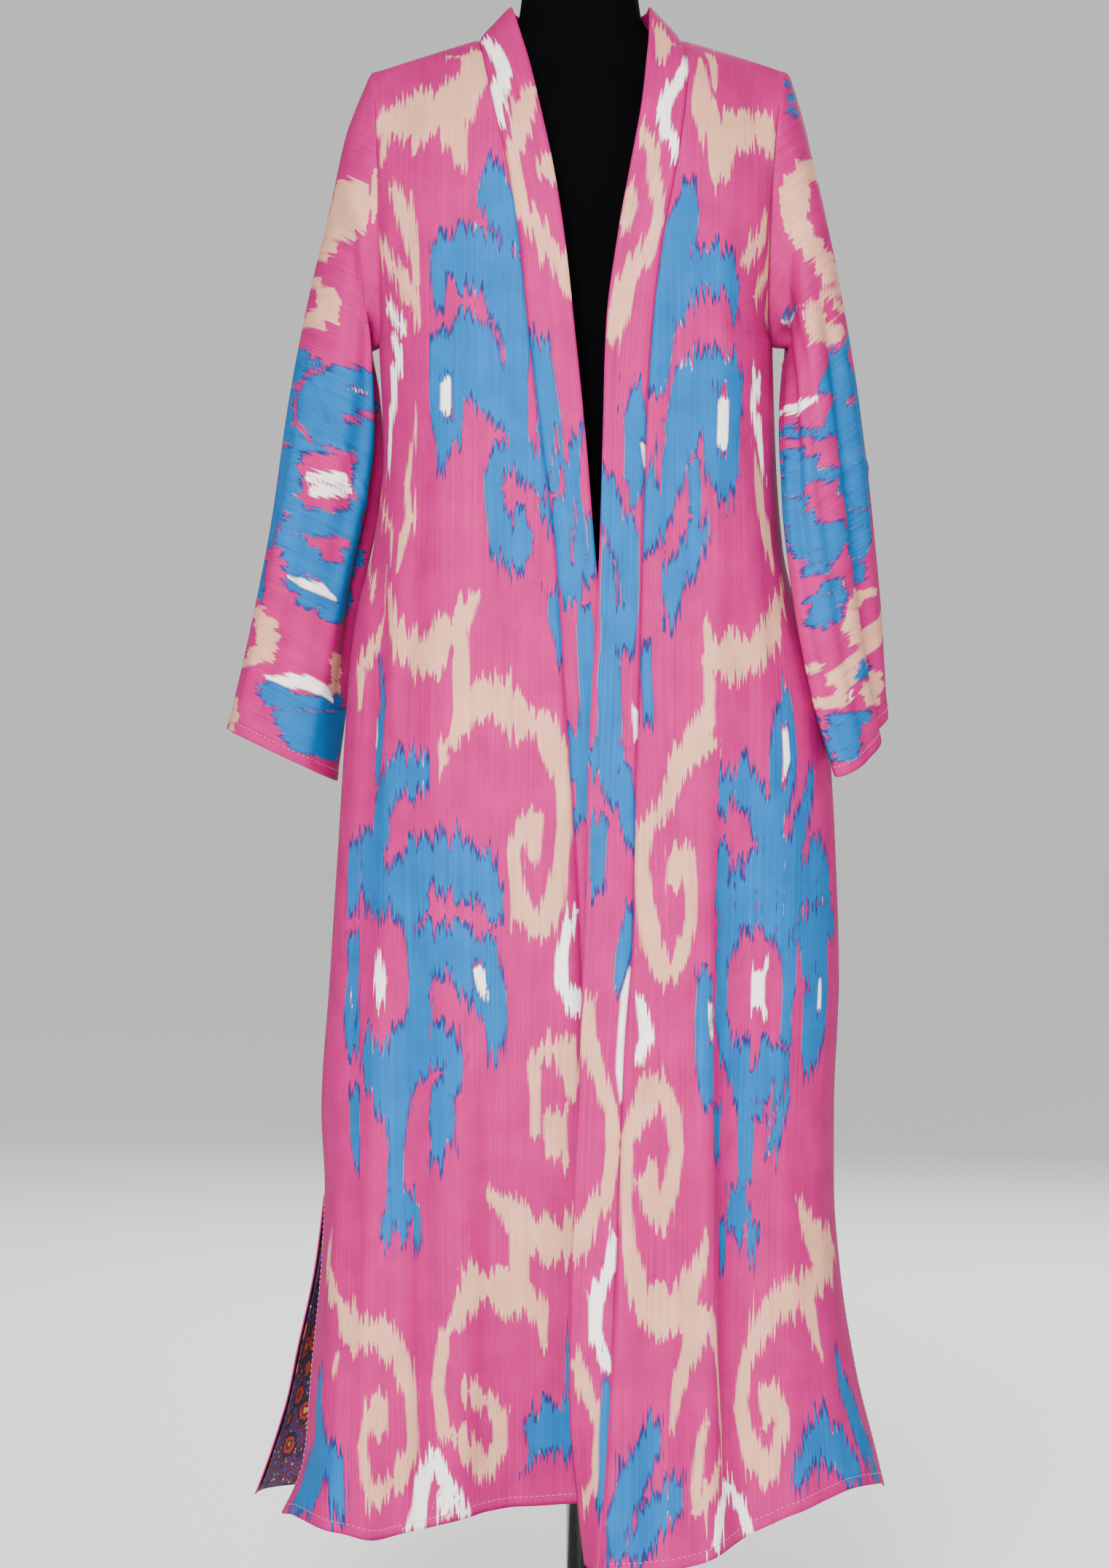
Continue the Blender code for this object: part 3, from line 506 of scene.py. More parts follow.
# %% The back's surface
def back_point(s, t):
    """Middle surface of the back: s runs from -1 (right side) to 1 (left side)."""
    s, t = np.broadcast_arrays(np.asarray(s, float), np.asarray(t, float))
    out = np.abs(s)
    rise = np.clip(t - 1, 0, 1)
    low_z = mix(along(BACK_HEM, "s", "z", s), UNDERARM_Z, np.clip(t, 0, 1))
    body = {k: along(COAT, "z", word(k), low_z) for k in (-1, 1)}
    skirt = {k: along(BACK_SKIRT, "z", word(k), low_z) for k in (-1, 1)}
    flare = {k: np.maximum(skirt[k], body[k]) for k in (-1, 1)}
    width = {k: np.where(low_z < SLIT_TOP[k], flare[k], body[k]) for k in (-1, 1)}
    gap = {k: slit_gap(k, low_z, SLIT_GAP_BACK) for k in (-1, 1)}
    half = np.where(s < 0, width[-1], width[1])
    apart = np.where(s < 0, gap[-1], gap[1])
    turn = np.radians(along(BACK_COLUMNS, "s", "turn", out))
    deep = along(COAT, "z", "back", low_z)
    low_x = np.abs(np.cos(turn)) ** (2 / BACK_POWER) * half
    low_y = apart + (deep - apart) * np.abs(np.sin(turn)) ** (2 / BACK_POWER)
    neck_turn = np.clip(1 - out / NECK_SHARE, 0, 1) * math.pi / 2
    shoulder = np.clip((out - NECK_SHARE) / (1 - NECK_SHARE), 0, 1)
    top_x = np.where(out > NECK_SHARE, mix(NECK_REACH, TIP_REACH, shoulder),
                     NECK_REACH * np.cos(neck_turn))
    top_y = NECK_BACK_Y * np.sin(neck_turn)
    top_z = mix(NECK_Z, TIP_Z, shoulder) - NECK_BACK_DROP * np.sin(neck_turn)
    z = low_z + (top_z - UNDERARM_Z) * rise
    high_x = mix(low_x, top_x, mix(ease(rise), rise, out))
    round_over = np.sqrt(1 - rise**2)
    straight = 1 - rise**2
    fall = mix(round_over, straight, np.sin(neck_turn))
    high_y = top_y + (low_y - top_y) * fall + ARMHOLE_BACK * armhole_bump(rise, 1 - out)
    x = np.where(t > 1, high_x, low_x) * np.sign(s)
    y = np.where(t > 1, high_y, low_y)
    hold = ease((1 - out) / BACK_EDGE_FADE) * (1 - ease(rise / FOLD_TOP_FADE))
    y = y + fold_depth(FOLDS[0], x, z) * hold
    return np.stack((x, y, z), -1)


print("the back's hem is at", round(float(back_point(0, 0)[2]), 3), "m in the middle")

# %% [markdown]
# ## The hanging surface of the band
# The band starts on the front's seam and ends at its own free edge. Above the shoulder
# it turns round the back of the neck.

# %% The band's surface
def neck_point(side, r, turn):
    """Band round the back of the neck: turn is 0 at the side and 1 at the middle."""
    c = np.cos(turn * math.pi / 2)
    w = np.sin(turn * math.pi / 2)
    x = mix(NECK_REACH, BAND_TOP_REACH, r) * c
    y = mix(NECK_BACK_Y, BAND_BACK_Y, r) * w
    z = mix(NECK_Z - NECK_BACK_DROP * w, BAND_TOP_Z - BAND_BACK_DROP * w, r)
    return np.stack((side * x, y, z), -1)


def band_point(side, r, t):
    """Middle surface of the band: r is 0 at the seam and 1 at the free edge."""
    r, t = np.broadcast_arrays(np.asarray(r, float), np.asarray(t, float))
    seam = front_point(side, 1 + 0 * r, np.clip(t, 0, 2))
    rise = np.clip(t - 1, 0, 1)
    low_z = np.minimum(seam[..., 2], UNDERARM_Z)
    edge_z = seam[..., 2] + along(CENTRE, "z", "lift", seam[..., 2])
    reach = along(EDGES, "z", "edge_" + word(side), edge_z)
    back = along(CENTRE, "z", "turn", low_z) if side > 0 else 0 * low_z
    slope = front_y(side, reach, low_z) - front_y(side, side * seam[..., 0], low_z)
    edge_y = seam[..., 1] + mix(slope, 0, rise) + back
    edge = np.stack((side * reach, edge_y, edge_z), -1)
    front = mix(seam, edge, r[..., None])
    round_neck = neck_point(side, r, np.clip(t - 2, 0, 1))
    return np.where(t[..., None] > 2, round_neck, front)


print("the band's halves meet at", np.round(band_point(1, 1, 3), 3).tolist())

# %% [markdown]
# ## The hanging surface of a sleeve
# A sleeve is a flattened tube that starts exactly on the armhole's line. Two fold lines
# run down it, and each of its two layers bulges between them.

# %% Measures of the sleeves
# Sleeves: the outer and the inner fold line, and how far each layer bulges
SLEEVES = {
    -1: chart(
        "t outer_x outer_y outer_z inner_x inner_y inner_z bulge_front bulge_back",
        (0.00, 0.1860, 0.000, 1.444, 0.1780, 0.000, 1.200, 0.055, 0.065),
        (0.10, 0.2090, 0.006, 1.387, 0.1870, 0.012, 1.196, 0.058, 0.065),
        (0.20, 0.2220, 0.012, 1.330, 0.1810, 0.036, 1.162, 0.060, 0.062),
        (0.35, 0.2440, 0.022, 1.241, 0.1775, 0.052, 1.105, 0.060, 0.060),
        (0.50, 0.2620, 0.032, 1.152, 0.1840, 0.056, 1.050, 0.058, 0.058),
        (0.68, 0.2795, 0.044, 1.041, 0.1990, 0.056, 0.975, 0.056, 0.056),
        (0.85, 0.3020, 0.050, 0.932, 0.2110, 0.056, 0.885, 0.056, 0.056),
        (1.00, 0.3190, 0.055, 0.860, 0.2210, 0.055, 0.813, 0.057, 0.057),
    ),
    1: chart(
        "t outer_x outer_y outer_z inner_x inner_y inner_z bulge_front bulge_back",
        (0.00, 0.1860, 0.000, 1.444, 0.1700, 0.000, 1.200, 0.055, 0.065),
        (0.10, 0.2025, 0.003, 1.388, 0.1860, -0.003, 1.198, 0.056, 0.056),
        (0.20, 0.2135, 0.006, 1.332, 0.1800, -0.036, 1.162, 0.052, 0.038),
        (0.35, 0.2255, 0.012, 1.241, 0.1760, -0.062, 1.110, 0.046, 0.022),
        (0.50, 0.2360, 0.020, 1.155, 0.1770, -0.078, 1.055, 0.042, 0.014),
        (0.68, 0.2480, 0.032, 1.040, 0.1850, -0.090, 0.975, 0.038, 0.012),
        (0.85, 0.2565, 0.042, 0.945, 0.2020, -0.098, 0.885, 0.034, 0.012),
        (1.00, 0.2590, 0.050, 0.884, 0.2230, -0.104, 0.816, 0.030, 0.012),
    ),
}
# Lengthwise folds of the sleeves: turn round the ring (0 outer line, 0.25 front,
# 0.5 inner line), where they start and end, spread and how far they stand out
SLEEVE_FOLDS = {
    -1: chart(
        "turn t_low t_high spread proud",
        (0.30, 0.10, 0.75, 0.040, -0.007),
        (0.17, 0.30, 1.10, 0.035, -0.006),
        (0.70, 0.15, 1.10, 0.045, -0.008),
        (0.85, 0.25, 1.10, 0.040, -0.006),
    ),
    1: chart(
        "turn t_low t_high spread proud",
        (0.24, 0.15, 1.20, 0.035, -0.016),
        (0.70, 0.20, 1.10, 0.050, -0.007),
    ),
}
print("the right cuff ends at", SLEEVES[-1]["inner_z"][-1], "m")

# %% [markdown]
# `sleeve_ring` gives the tube, and `sleeve_point` bends its top to meet the armhole.

# %% The sleeves' surface
def sleeve_folds(table, turn, t):
    """How far lengthwise folds lift a sleeve, most at the middle of each fold."""
    total = 0 * t
    for fold, t_low, t_high, spread, proud in zip(*table.values()):
        share = np.clip((t - t_low) / (t_high - t_low), 0, 1)
        total = total + proud * np.sin(math.pi * share) * ridge(turn - fold, spread)
    return total


def sleeve_ring(side, turn, t):
    """Ring of a sleeve: turn is 0 at the outer line, 0.25 front and 0.5 inner."""
    table = SLEEVES[side]

    def line(name):
        parts = [along(table, "t", name + "_" + axis, t) for axis in "xyz"]
        parts[0] = side * parts[0]
        return np.stack(parts, -1)

    outer = line("outer")
    inner = line("inner")
    middle = (outer + inner) / 2
    chord = (outer - inner) / 2
    lower = t[..., None] ** SLEEVE_HANG_POWER
    down = np.array(SLEEVE_HANG) * (side, 1, 1)
    away = np.array((side, 0.0, 0.0))
    front = np.cross(mix(away, down, lower), chord) * side
    front = front / np.linalg.norm(front, axis=-1, keepdims=True)
    angle = turn * 2 * math.pi
    sine = np.sin(angle)
    layers = [along(table, "t", "bulge_" + name, t) for name in ("front", "back")]
    bulge = np.where(sine > 0, *layers)
    bulge = bulge + sleeve_folds(SLEEVE_FOLDS[side], turn, t)
    return middle + chord * np.cos(angle)[..., None] + front * (bulge * sine)[..., None]


def armhole_point(side, turn):
    """The armhole's own line, from the shoulder tip (0) down the front and back up."""
    rise = (1 + np.cos(turn * 2 * math.pi)) / 2
    front = front_point(side, 0 * turn, 1 + rise)
    back = back_point(side + 0 * turn, 1 + rise)
    return np.where(turn[..., None] <= 0.5, front, back)


def sleeve_point(side, turn, t):
    """Middle surface of a sleeve, which starts exactly on the armhole's line."""
    turn, t = np.broadcast_arrays(np.asarray(turn, float), np.asarray(t, float))
    ring = sleeve_ring(side, turn, t)
    start = armhole_point(side, turn) - sleeve_ring(side, turn, 0 * t)
    return ring + start * (1 - ease(t / SLEEVE_TOP_SHARE))[..., None]


def unit(vectors):
    """Vectors with the same direction and a length of one."""
    return vectors / np.maximum(np.linalg.norm(vectors, axis=-1, keepdims=True), 1e-12)


print("the left armhole starts at", np.round(sleeve_point(1, 0, 0), 3).tolist())

# %% [markdown]
# ## Laying cloth on a surface
# Each cut piece is a flat grid that we lay on the hanging surface. A grid made by
# `create_grid` knows its own place as x and y, so its corners can be moved by a function
# of those two. While we do so we also measure the cloth: how far each point lies across
# the piece and along it. The woven pattern is worked out from those two lengths. A
# Solidify modifier gives the wall, with the printed lining as the material of its inner
# side.

# %% A piece of cloth
CLOTH_WALL = 0.0013


class Sheet:
    """A grid of cloth: s runs across it and t along it, both from 0 to 1."""

    def __init__(self, name, across, up):
        self.name = name
        mesh = bpy.data.meshes.new(name)
        bm = bmesh.new()
        bmesh.ops.create_grid(bm, x_segments=across, y_segments=up, size=0.5)
        bm.to_mesh(mesh)
        bm.free()
        flat = np.empty(len(mesh.vertices) * 3)
        mesh.vertices.foreach_get("co", flat)
        place = flat.reshape(-1, 3)[:, :2] + 0.5
        place = np.round(place * (across, up)).astype(int)
        self.order = np.argsort(place[:, 1] * (across + 1) + place[:, 0])
        self.shape = (up + 1, across + 1)
        grid = place[self.order].reshape(self.shape + (2,))
        self.s = grid[..., 0] / across
        self.t = grid[..., 1] / up
        self.mesh = mesh
        self.item = link(name, mesh)

    def lay(self, points, outward=None, ring=False):
        """Take the middle surface, find its normals, and measure across and along it."""
        self.points = points
        up = np.gradient(points, axis=0)
        across = np.gradient(points, axis=1)
        if ring:
            turned = (points[:, 1] - points[:, -2]) / 2
            across[:, 0] = turned
            across[:, -1] = turned
        normals = unit(np.cross(across, up))
        if outward is None:
            facing = np.sum(normals * (points - points.mean(axis=1, keepdims=True)))
        else:
            facing = np.sum(normals * np.array(outward))
        self.normals = normals if facing > 0 else -normals
        if facing < 0:
            bm = bmesh.new()
            bm.from_mesh(self.mesh)
            bmesh.ops.reverse_faces(bm, faces=bm.faces)
            bm.to_mesh(self.mesh)
            bm.free()
        step_across = np.linalg.norm(np.diff(points, axis=1), axis=-1)
        step_up = np.linalg.norm(np.diff(points, axis=0), axis=-1)
        self.across = np.pad(np.cumsum(step_across, axis=1), ((0, 0), (1, 0)))
        self.along = np.pad(np.cumsum(step_up, axis=0), ((1, 0), (0, 0)))
        cell = (step_across[:-1] + step_across[1:]) / 2 * (step_up[:, :-1] + step_up[:, 1:]) / 2
        self.area = float(cell.sum())

    def edge(self, *names):
        """Distance in metres from the nearest of the named edges."""
        far = {
            "low": self.along,
            "high": self.along[-1:] - self.along,
            "first": self.across,
            "last": self.across[:, -1:] - self.across,
        }
        return np.minimum.reduce([far[name] for name in names])

    def raise_by(self, height):
        """Move every point along its normal."""
        self.points = self.points + self.normals * np.asarray(height)[..., None]

    def write(self, lining, wall=CLOTH_WALL):
        """Put the points in the mesh and give the cloth its wall."""
        flat = np.empty_like(self.points.reshape(-1, 3))
        flat[self.order] = self.points.reshape(-1, 3)
        self.mesh.vertices.foreach_set("co", flat.ravel())
        self.mesh.shade_smooth()
        self.mesh.update()
        shell = self.item.modifiers.new("wall", "SOLIDIFY")
        shell.thickness = wall
        shell.offset = -1
        shell.use_even_offset = False
        if lining:
            shell.material_offset = 1


print("cloth walls are", CLOTH_WALL * 1000, "mm")

# %% [markdown]
# A material can only read what the mesh keeps. So we hand each corner of each face the
# numbers of its grid point: the dyes' fields as attributes, and the lengths of cloth as
# a UV map in metres, with x across the threads of the warp and y along them.

# %% Notes on the mesh
def corners(sheet, values):
    """Values of the grid's points, handed to the faces' corners."""
    width = values.shape[2:]
    flat = np.empty((values.shape[0] * values.shape[1],) + width)
    flat[sheet.order] = values.reshape((-1,) + width)
    owner = np.empty(len(sheet.mesh.loops), int)
    sheet.mesh.loops.foreach_get("vertex_index", owner)
    return flat[owner]


def note(sheet, name, values):
    """Keep numbers or vectors on the mesh for the materials to read."""
    kind = "FLOAT_VECTOR" if values.ndim == 3 else "FLOAT"
    member = "vector" if values.ndim == 3 else "value"
    layer = sheet.mesh.attributes.new(name, kind, "CORNER")
    layer.data.foreach_set(member, corners(sheet, values).ravel())


def map_cloth(sheet, across, along_cloth):
    """Lay the cloth's UV map."""
    layer = sheet.mesh.uv_layers.new(name="cloth")
    both = np.stack((across, along_cloth), -1)
    layer.data.foreach_set("uv", corners(sheet, both).ravel())


print("the cloth's map is in metres")

# %% [markdown]
# A seam pulls the cloth in to a shallow groove, and a hem turned under stands a little
# proud of the single cloth beside it.

# %% Seams and hems
GROOVE = 0.0012
GROOVE_WIDTH = 0.0028
HEM_WIDTH = 0.009
HEM_RISE = 0.0005
HEM_SOFT = 0.002
SEAM_FLAT = 0.02


def groove(distance):
    """How far a sewn edge is drawn in."""
    return -GROOVE * ridge(distance, GROOVE_WIDTH)


def hem_rise(distance):
    """Cloth turned under at a finished edge stands a little proud."""
    return HEM_RISE * (1 - ease((distance - HEM_WIDTH) / HEM_SOFT))


def puff(sheet, lift):
    """Raise a panel to its outer face, with its creases, seams and hems."""
    sheet.raise_by(WALL / 2 + lift + groove(sheet.sewn) + hem_rise(sheet.finished))
    return sheet


print("hems are", HEM_WIDTH * 1000, "mm wide")

# %% [markdown]
# ## The two fronts
# Each front is one straight length of cloth from the shoulder to the hem. Its rows are
# close together at the underarm and the shoulder tip, where the armhole bends. Fine
# creases, too small for the CAD solids, are added here: long soft ones where the skirt
# hangs, and short pressed ones left by folding the coat away.

# %% Creases of the fronts
CREASES = {
    -1: chart(
        "reach_low reach_high z_low z_high spread proud",
        (0.222, 0.205, 0.16, 0.55, 0.008, 0.0022),
        (0.178, 0.172, 0.20, 0.62, 0.007, -0.0018),
        (0.135, 0.140, 0.16, 0.48, 0.009, 0.0020),
        (0.084, 0.078, 0.17, 0.60, 0.008, -0.0016),
        (0.172, 0.150, 0.78, 1.12, 0.009, 0.0026),
        (0.150, 0.128, 0.86, 1.16, 0.008, -0.0016),
        (0.060, 0.075, 1.05, 1.30, 0.009, -0.0016),
        (0.095, 0.105, 1.12, 1.36, 0.008, 0.0016),
        (0.040, 0.052, 0.45, 0.90, 0.007, 0.0014),
        (0.189, 0.171, 0.62, 1.02, 0.013, -0.0045),
        (0.155, 0.140, 0.18, 0.78, 0.026, -0.0040),
        (0.112, 0.102, 0.16, 0.66, 0.022, 0.0036),
        (0.072, 0.078, 0.22, 0.76, 0.018, -0.0030),
        (0.125, 0.100, 0.72, 1.26, 0.024, 0.0034),
    ),
    1: chart(
        "reach_low reach_high z_low z_high spread proud",
        (0.215, 0.200, 0.19, 0.60, 0.009, 0.0022),
        (0.168, 0.160, 0.18, 0.72, 0.008, -0.0020),
        (0.084, 0.090, 0.16, 0.66, 0.008, 0.0018),
        (0.050, 0.058, 0.20, 0.52, 0.007, -0.0014),
        (0.160, 0.142, 0.80, 1.10, 0.009, 0.0024),
        (0.128, 0.120, 0.92, 1.22, 0.008, -0.0018),
        (0.075, 0.086, 1.02, 1.32, 0.009, -0.0018),
        (0.118, 0.128, 1.10, 1.38, 0.009, 0.0018),
        (0.123, 0.119, 0.22, 0.92, 0.011, -0.0050),
        (0.104, 0.100, 0.22, 0.88, 0.014, 0.0034),
        (0.190, 0.172, 0.20, 0.80, 0.024, -0.0040),
        (0.064, 0.070, 0.18, 0.70, 0.018, -0.0030),
        (0.140, 0.112, 0.78, 1.26, 0.024, 0.0034),
    ),
}
PRESSED = {
    -1: chart(
        "reach_in reach_out z_in z_out",
        (0.048, 0.200, 1.030, 1.018),
        (0.130, 0.215, 0.668, 0.655),
        (0.140, 0.225, 0.238, 0.262),
    ),
    1: chart(
        "reach_in reach_out z_in z_out",
        (0.110, 0.205, 0.740, 0.788),
        (0.128, 0.225, 0.630, 0.648),
        (0.118, 0.190, 0.305, 0.268),
    ),
}
print(sum(len(table["proud"]) for table in CREASES.values()), "soft creases in the fronts")

# %% [markdown]
# `coat_rows` sets the rows' heights, and `make_front` lays the sheet, measures it, and
# raises it by half the wall with its creases, its grooved seams and its turned hem.

# %% The fronts
FRONT_ACROSS = 88
FRONT_UP = 262
LOW_SHARE = 0.76
CREASE_START = 0.25
CREASE_END = 0.3


def coat_rows(r):
    """Row heights for 0 to 1: hem to underarm, then closer at the armhole's two ends."""
    low = r / LOW_SHARE
    high = np.clip((r - LOW_SHARE) / (1 - LOW_SHARE), 0, 1)
    return np.where(r < LOW_SHARE, low, 1 + (1 - np.cos(high * math.pi)) / 2)


def long_creases(table, reach, z):
    """How far the soft creases lift the cloth."""
    total = 0 * reach
    for low, high, z_low, z_high, spread, proud in zip(*table.values()):
        rise = (z - z_low) / (z_high - z_low)
        line = mix(low, high, np.clip(rise, 0, 1))
        fade = ease(rise / CREASE_START + 0.5) * ease((1 - rise) / CREASE_END)
        total = total + proud * fade * ridge(reach - line, spread)
    return total


def crease_distance(table, reach, z):
    """Upright distance from the nearest pressed crease, growing past the crease's ends."""
    nearest = 0 * reach + 1
    for r_in, r_out, z_in, z_out in zip(*table.values()):
        share = (reach - r_in) / (r_out - r_in)
        past = np.maximum(0, np.maximum(-share, share - 1)) * abs(r_out - r_in)
        away = np.abs(z - mix(z_in, z_out, share)) + past
        nearest = np.minimum(nearest, away)
    return nearest


def make_front(side):
    """One front, laid, measured and raised."""
    sheet = Sheet("kaftan_front_" + word(side), FRONT_ACROSS, FRONT_UP)
    t = coat_rows(sheet.t)
    sheet.lay(front_point(side, sheet.s, t), (0, -1, 0))
    reach = side * sheet.points[..., 0]
    z = sheet.points[..., 2]
    sheet.u = sheet.across[:, -1:] - sheet.across + reach[:, -1:]
    sheet.v = np.where(t > 1, UNDERARM_Z + sheet.along - sheet.along[t[:, 0] <= 1][-1:], z)
    slit = z < SLIT_TOP[side]
    open_side = np.where(slit, sheet.edge("first"), 1)
    sewn_side = np.where(slit, 1, sheet.edge("first"))
    sheet.finished = np.minimum(sheet.edge("low"), open_side)
    sheet.sewn = np.minimum(sewn_side, sheet.edge("last", "high"))
    lift = long_creases(CREASES[side], reach, z) * ease(sheet.sewn / SEAM_FLAT)
    sheet.crease = crease_distance(PRESSED[side], reach, z)
    return puff(sheet, lift)


fronts = {side: make_front(side) for side in (-1, 1)}
for sheet in fronts.values():
    print(sheet.name, round(sheet.area, 3), "square metres of cloth")

# %% [markdown]
# ## The back
# The back is one wide piece. It hangs straight from the shoulders in soft round folds,
# and below the side slits it swings out a little past the fronts. Nobody photographed
# it, so it is finished plainly, in the same cloth.

# %% The back
BACK_ACROSS = 150
BACK_UP = 236
BACK_CREASES = chart(
    "reach_low reach_high z_low z_high spread proud",
    (-0.190, -0.165, 0.16, 0.70, 0.010, -0.0022),
    (-0.135, -0.110, 0.16, 0.86, 0.009, 0.0020),
    (-0.075, -0.060, 0.20, 0.95, 0.009, -0.0020),
    (-0.020, -0.020, 0.16, 0.80, 0.008, 0.0020),
    (0.042, 0.034, 0.16, 0.90, 0.009, -0.0020),
    (0.100, 0.082, 0.20, 0.90, 0.009, 0.0020),
    (0.155, 0.130, 0.16, 0.82, 0.009, 0.0020),
    (0.205, 0.175, 0.16, 0.66, 0.010, -0.0020),
    (-0.100, -0.125, 1.05, 1.36, 0.012, -0.0024),
    (0.100, 0.125, 1.05, 1.36, 0.012, -0.0024),
)
BACK_PRESSED = chart(
    "reach_in reach_out z_in z_out",
    (-0.200, 0.200, 1.022, 1.026),
    (-0.210, 0.210, 0.662, 0.655),
)


def make_back():
    """The back, laid, measured and raised."""
    sheet = Sheet("kaftan_back", BACK_ACROSS, BACK_UP)
    t = coat_rows(sheet.t)
    sheet.lay(back_point(sheet.s * 2 - 1, t), (0, 1, 0))
    x = sheet.points[..., 0]
    z = sheet.points[..., 2]
    middle = sheet.shape[1] // 2
    sheet.u = sheet.across - sheet.across[:, middle:middle + 1]
    sheet.v = np.where(t > 1, UNDERARM_Z + sheet.along - sheet.along[t[:, 0] <= 1][-1:], z)
    top = np.where(x < 0, SLIT_TOP[-1], SLIT_TOP[1])
    sides = sheet.edge("first", "last")
    sheet.finished = np.minimum(sheet.edge("low"), np.where(z < top, sides, 1))
    sheet.sewn = np.minimum(sheet.edge("high"), np.where(z < top, 1, sides))
    lift = long_creases(BACK_CREASES, x, z) * ease(sheet.sewn / SEAM_FLAT)
    sheet.crease = crease_distance(BACK_PRESSED, x, z)
    return puff(sheet, lift)


back = make_back()
print(back.name, round(back.area, 3), "square metres of cloth")

# %% [markdown]
# ## The band
# One straight strip, folded double, is sewn along both fronts and round the back of the
# neck. It has two halves, joined at the middle of the neck. Its free edge is a fold, so
# it is rounder and thicker than a cut edge: we raise the strip a little between its two
# edges and give it a thicker wall.

# %% The band
BAND_ACROSS = 12
BAND_UP = 330
BAND_WALL = 0.0020
BAND_LOFT = 0.0008
SEAM_ROUND = 0.006
FOLD_ROUND = 0.004
FOLD_START = 0.3
FRONT_SHARE = 0.94


def band_rows(r):
    """Row heights of the band: those of a front, then round the neck."""
    front = coat_rows(np.clip(r / FRONT_SHARE, 0, 1))
    neck = (r - FRONT_SHARE) / (1 - FRONT_SHARE)
    return np.where(r < FRONT_SHARE, front, 2 + neck)


def make_band(side):
    """One half of the band, laid, measured and raised."""
    sheet = Sheet("kaftan_band_" + word(side), BAND_ACROSS, BAND_UP)
    t = band_rows(sheet.t)
    sheet.lay(band_point(side, sheet.s, t), (0, -1, 0))
    sheet.u = sheet.across
    sheet.v = sheet.along + BACK_HEM_Z
    sheet.finished = sheet.edge("low", "last")
    sheet.sewn = sheet.edge("first", "high")
    by_seam = ease(sheet.edge("first") / SEAM_ROUND)
    by_fold = ease(sheet.edge("last") / FOLD_ROUND + FOLD_START)
    sheet.raise_by(WALL / 2 + BAND_LOFT * (by_seam * by_fold) + groove(sheet.sewn))
    return sheet


bands = {side: make_band(side) for side in (-1, 1)}
for sheet in bands.values():
    print(sheet.name, round(sheet.along[-1].mean(), 3), "metres long")

# %% [markdown]
# ## The sleeves
# A sleeve is one piece folded lengthwise, with its seam along the inner line. The cloth
# is turned a quarter, so its threads run round the arm and the pattern lies sideways.
# The arms are empty: the left sleeve hangs flat and has dropped forward into one deep
# lengthwise valley, and the right one is held open a little by its own stiffness.

# %% Creases of the sleeves
SLEEVE_CREASES = {
    -1: chart(
        "turn t_low t_high spread proud",
        (0.10, 0.30, 1.20, 0.020, 0.0022),
        (0.22, 0.10, 0.70, 0.018, -0.0022),
        (0.33, 0.10, 1.20, 0.022, 0.0030),
        (0.42, -0.30, 1.00, 0.045, -0.0120),
        (0.64, 0.10, 1.20, 0.020, -0.0022),
        (0.80, 0.20, 1.10, 0.020, 0.0022),
    ),
    1: chart(
        "turn t_low t_high spread proud",
        (0.12, 0.10, 1.20, 0.018, 0.0020),
        (0.36, -0.20, 1.20, 0.020, -0.0040),
        (0.44, -0.30, 1.00, 0.030, -0.0080),
        (0.62, 0.10, 1.20, 0.020, 0.0020),
        (0.84, 0.20, 1.10, 0.020, -0.0020),
    ),
}
ELBOW_PRESSED = {
    -1: chart(
        "turn_from turn_to t_from t_to spread proud",
        (0.04, 0.42, 0.40, 0.52, 0.008, 0.0016),
    ),
    1: chart(
        "turn_from turn_to t_from t_to spread proud",
        (0.05, 0.40, 0.62, 0.50, 0.008, 0.0014),
    ),
}
print(sum(len(table["proud"]) for table in SLEEVE_CREASES.values()), "creases in the sleeves")

# %% [markdown]
# The grid's first and last columns meet along the inner seam. They are laid on the same
# points and sewn together once the points are in the mesh, so the tube is closed.

# %% The sleeves
SLEEVE_ROUND = 84
SLEEVE_UP = 150
SLEEVE_ROW_POWER = 1.1
ELBOW_FADE = 0.2
INNER_SEAM_FLAT = 0.015


def make_sleeve(side):
    """One sleeve, laid as a ring, measured and raised."""
    sheet = Sheet("kaftan_sleeve_" + word(side), SLEEVE_ROUND, SLEEVE_UP)
    turn = (sheet.s + 0.5) % 1
    t = sheet.t**SLEEVE_ROW_POWER
    points = sleeve_point(side, turn, t)
    points[:, -1] = points[:, 0]
    sheet.lay(points, ring=True)
    girth = sheet.across[:, -1:]
    sheet.v = sheet.across - girth / 2
    sheet.u = sheet.along[-1:] - sheet.along
    sheet.finished = sheet.edge("high")
    sheet.sewn = sheet.edge("low")
    lift = sleeve_folds(SLEEVE_CREASES[side], turn, t)
    for a, b, t_a, t_b, spread, proud in zip(*ELBOW_PRESSED[side].values()):
        share = (turn - a) / (b - a)
        inside = ease(share / ELBOW_FADE) * ease((1 - share) / ELBOW_FADE)
        lift = lift + proud * inside * ridge(t - mix(t_a, t_b, share), spread)
    inner_seam = sheet.edge("first", "last")
    lift = lift * ease(inner_seam / INNER_SEAM_FLAT) * ease(sheet.sewn / SEAM_FLAT)
    puff(sheet, lift + groove(inner_seam))
    sheet.points[:, -1] = sheet.points[:, 0]
    return sheet


def close_ring(sheet):
    """Sew the grid's first and last column together; its corners keep their own maps."""
    bm = bmesh.new()
    bm.from_mesh(sheet.mesh)
    bmesh.ops.remove_doubles(bm, verts=bm.verts, dist=1e-6)
    bm.to_mesh(sheet.mesh)
    bm.free()


sleeves = {side: make_sleeve(side) for side in (-1, 1)}
for sheet in sleeves.values():
    print(sheet.name, round(sheet.area, 3), "square metres of cloth")

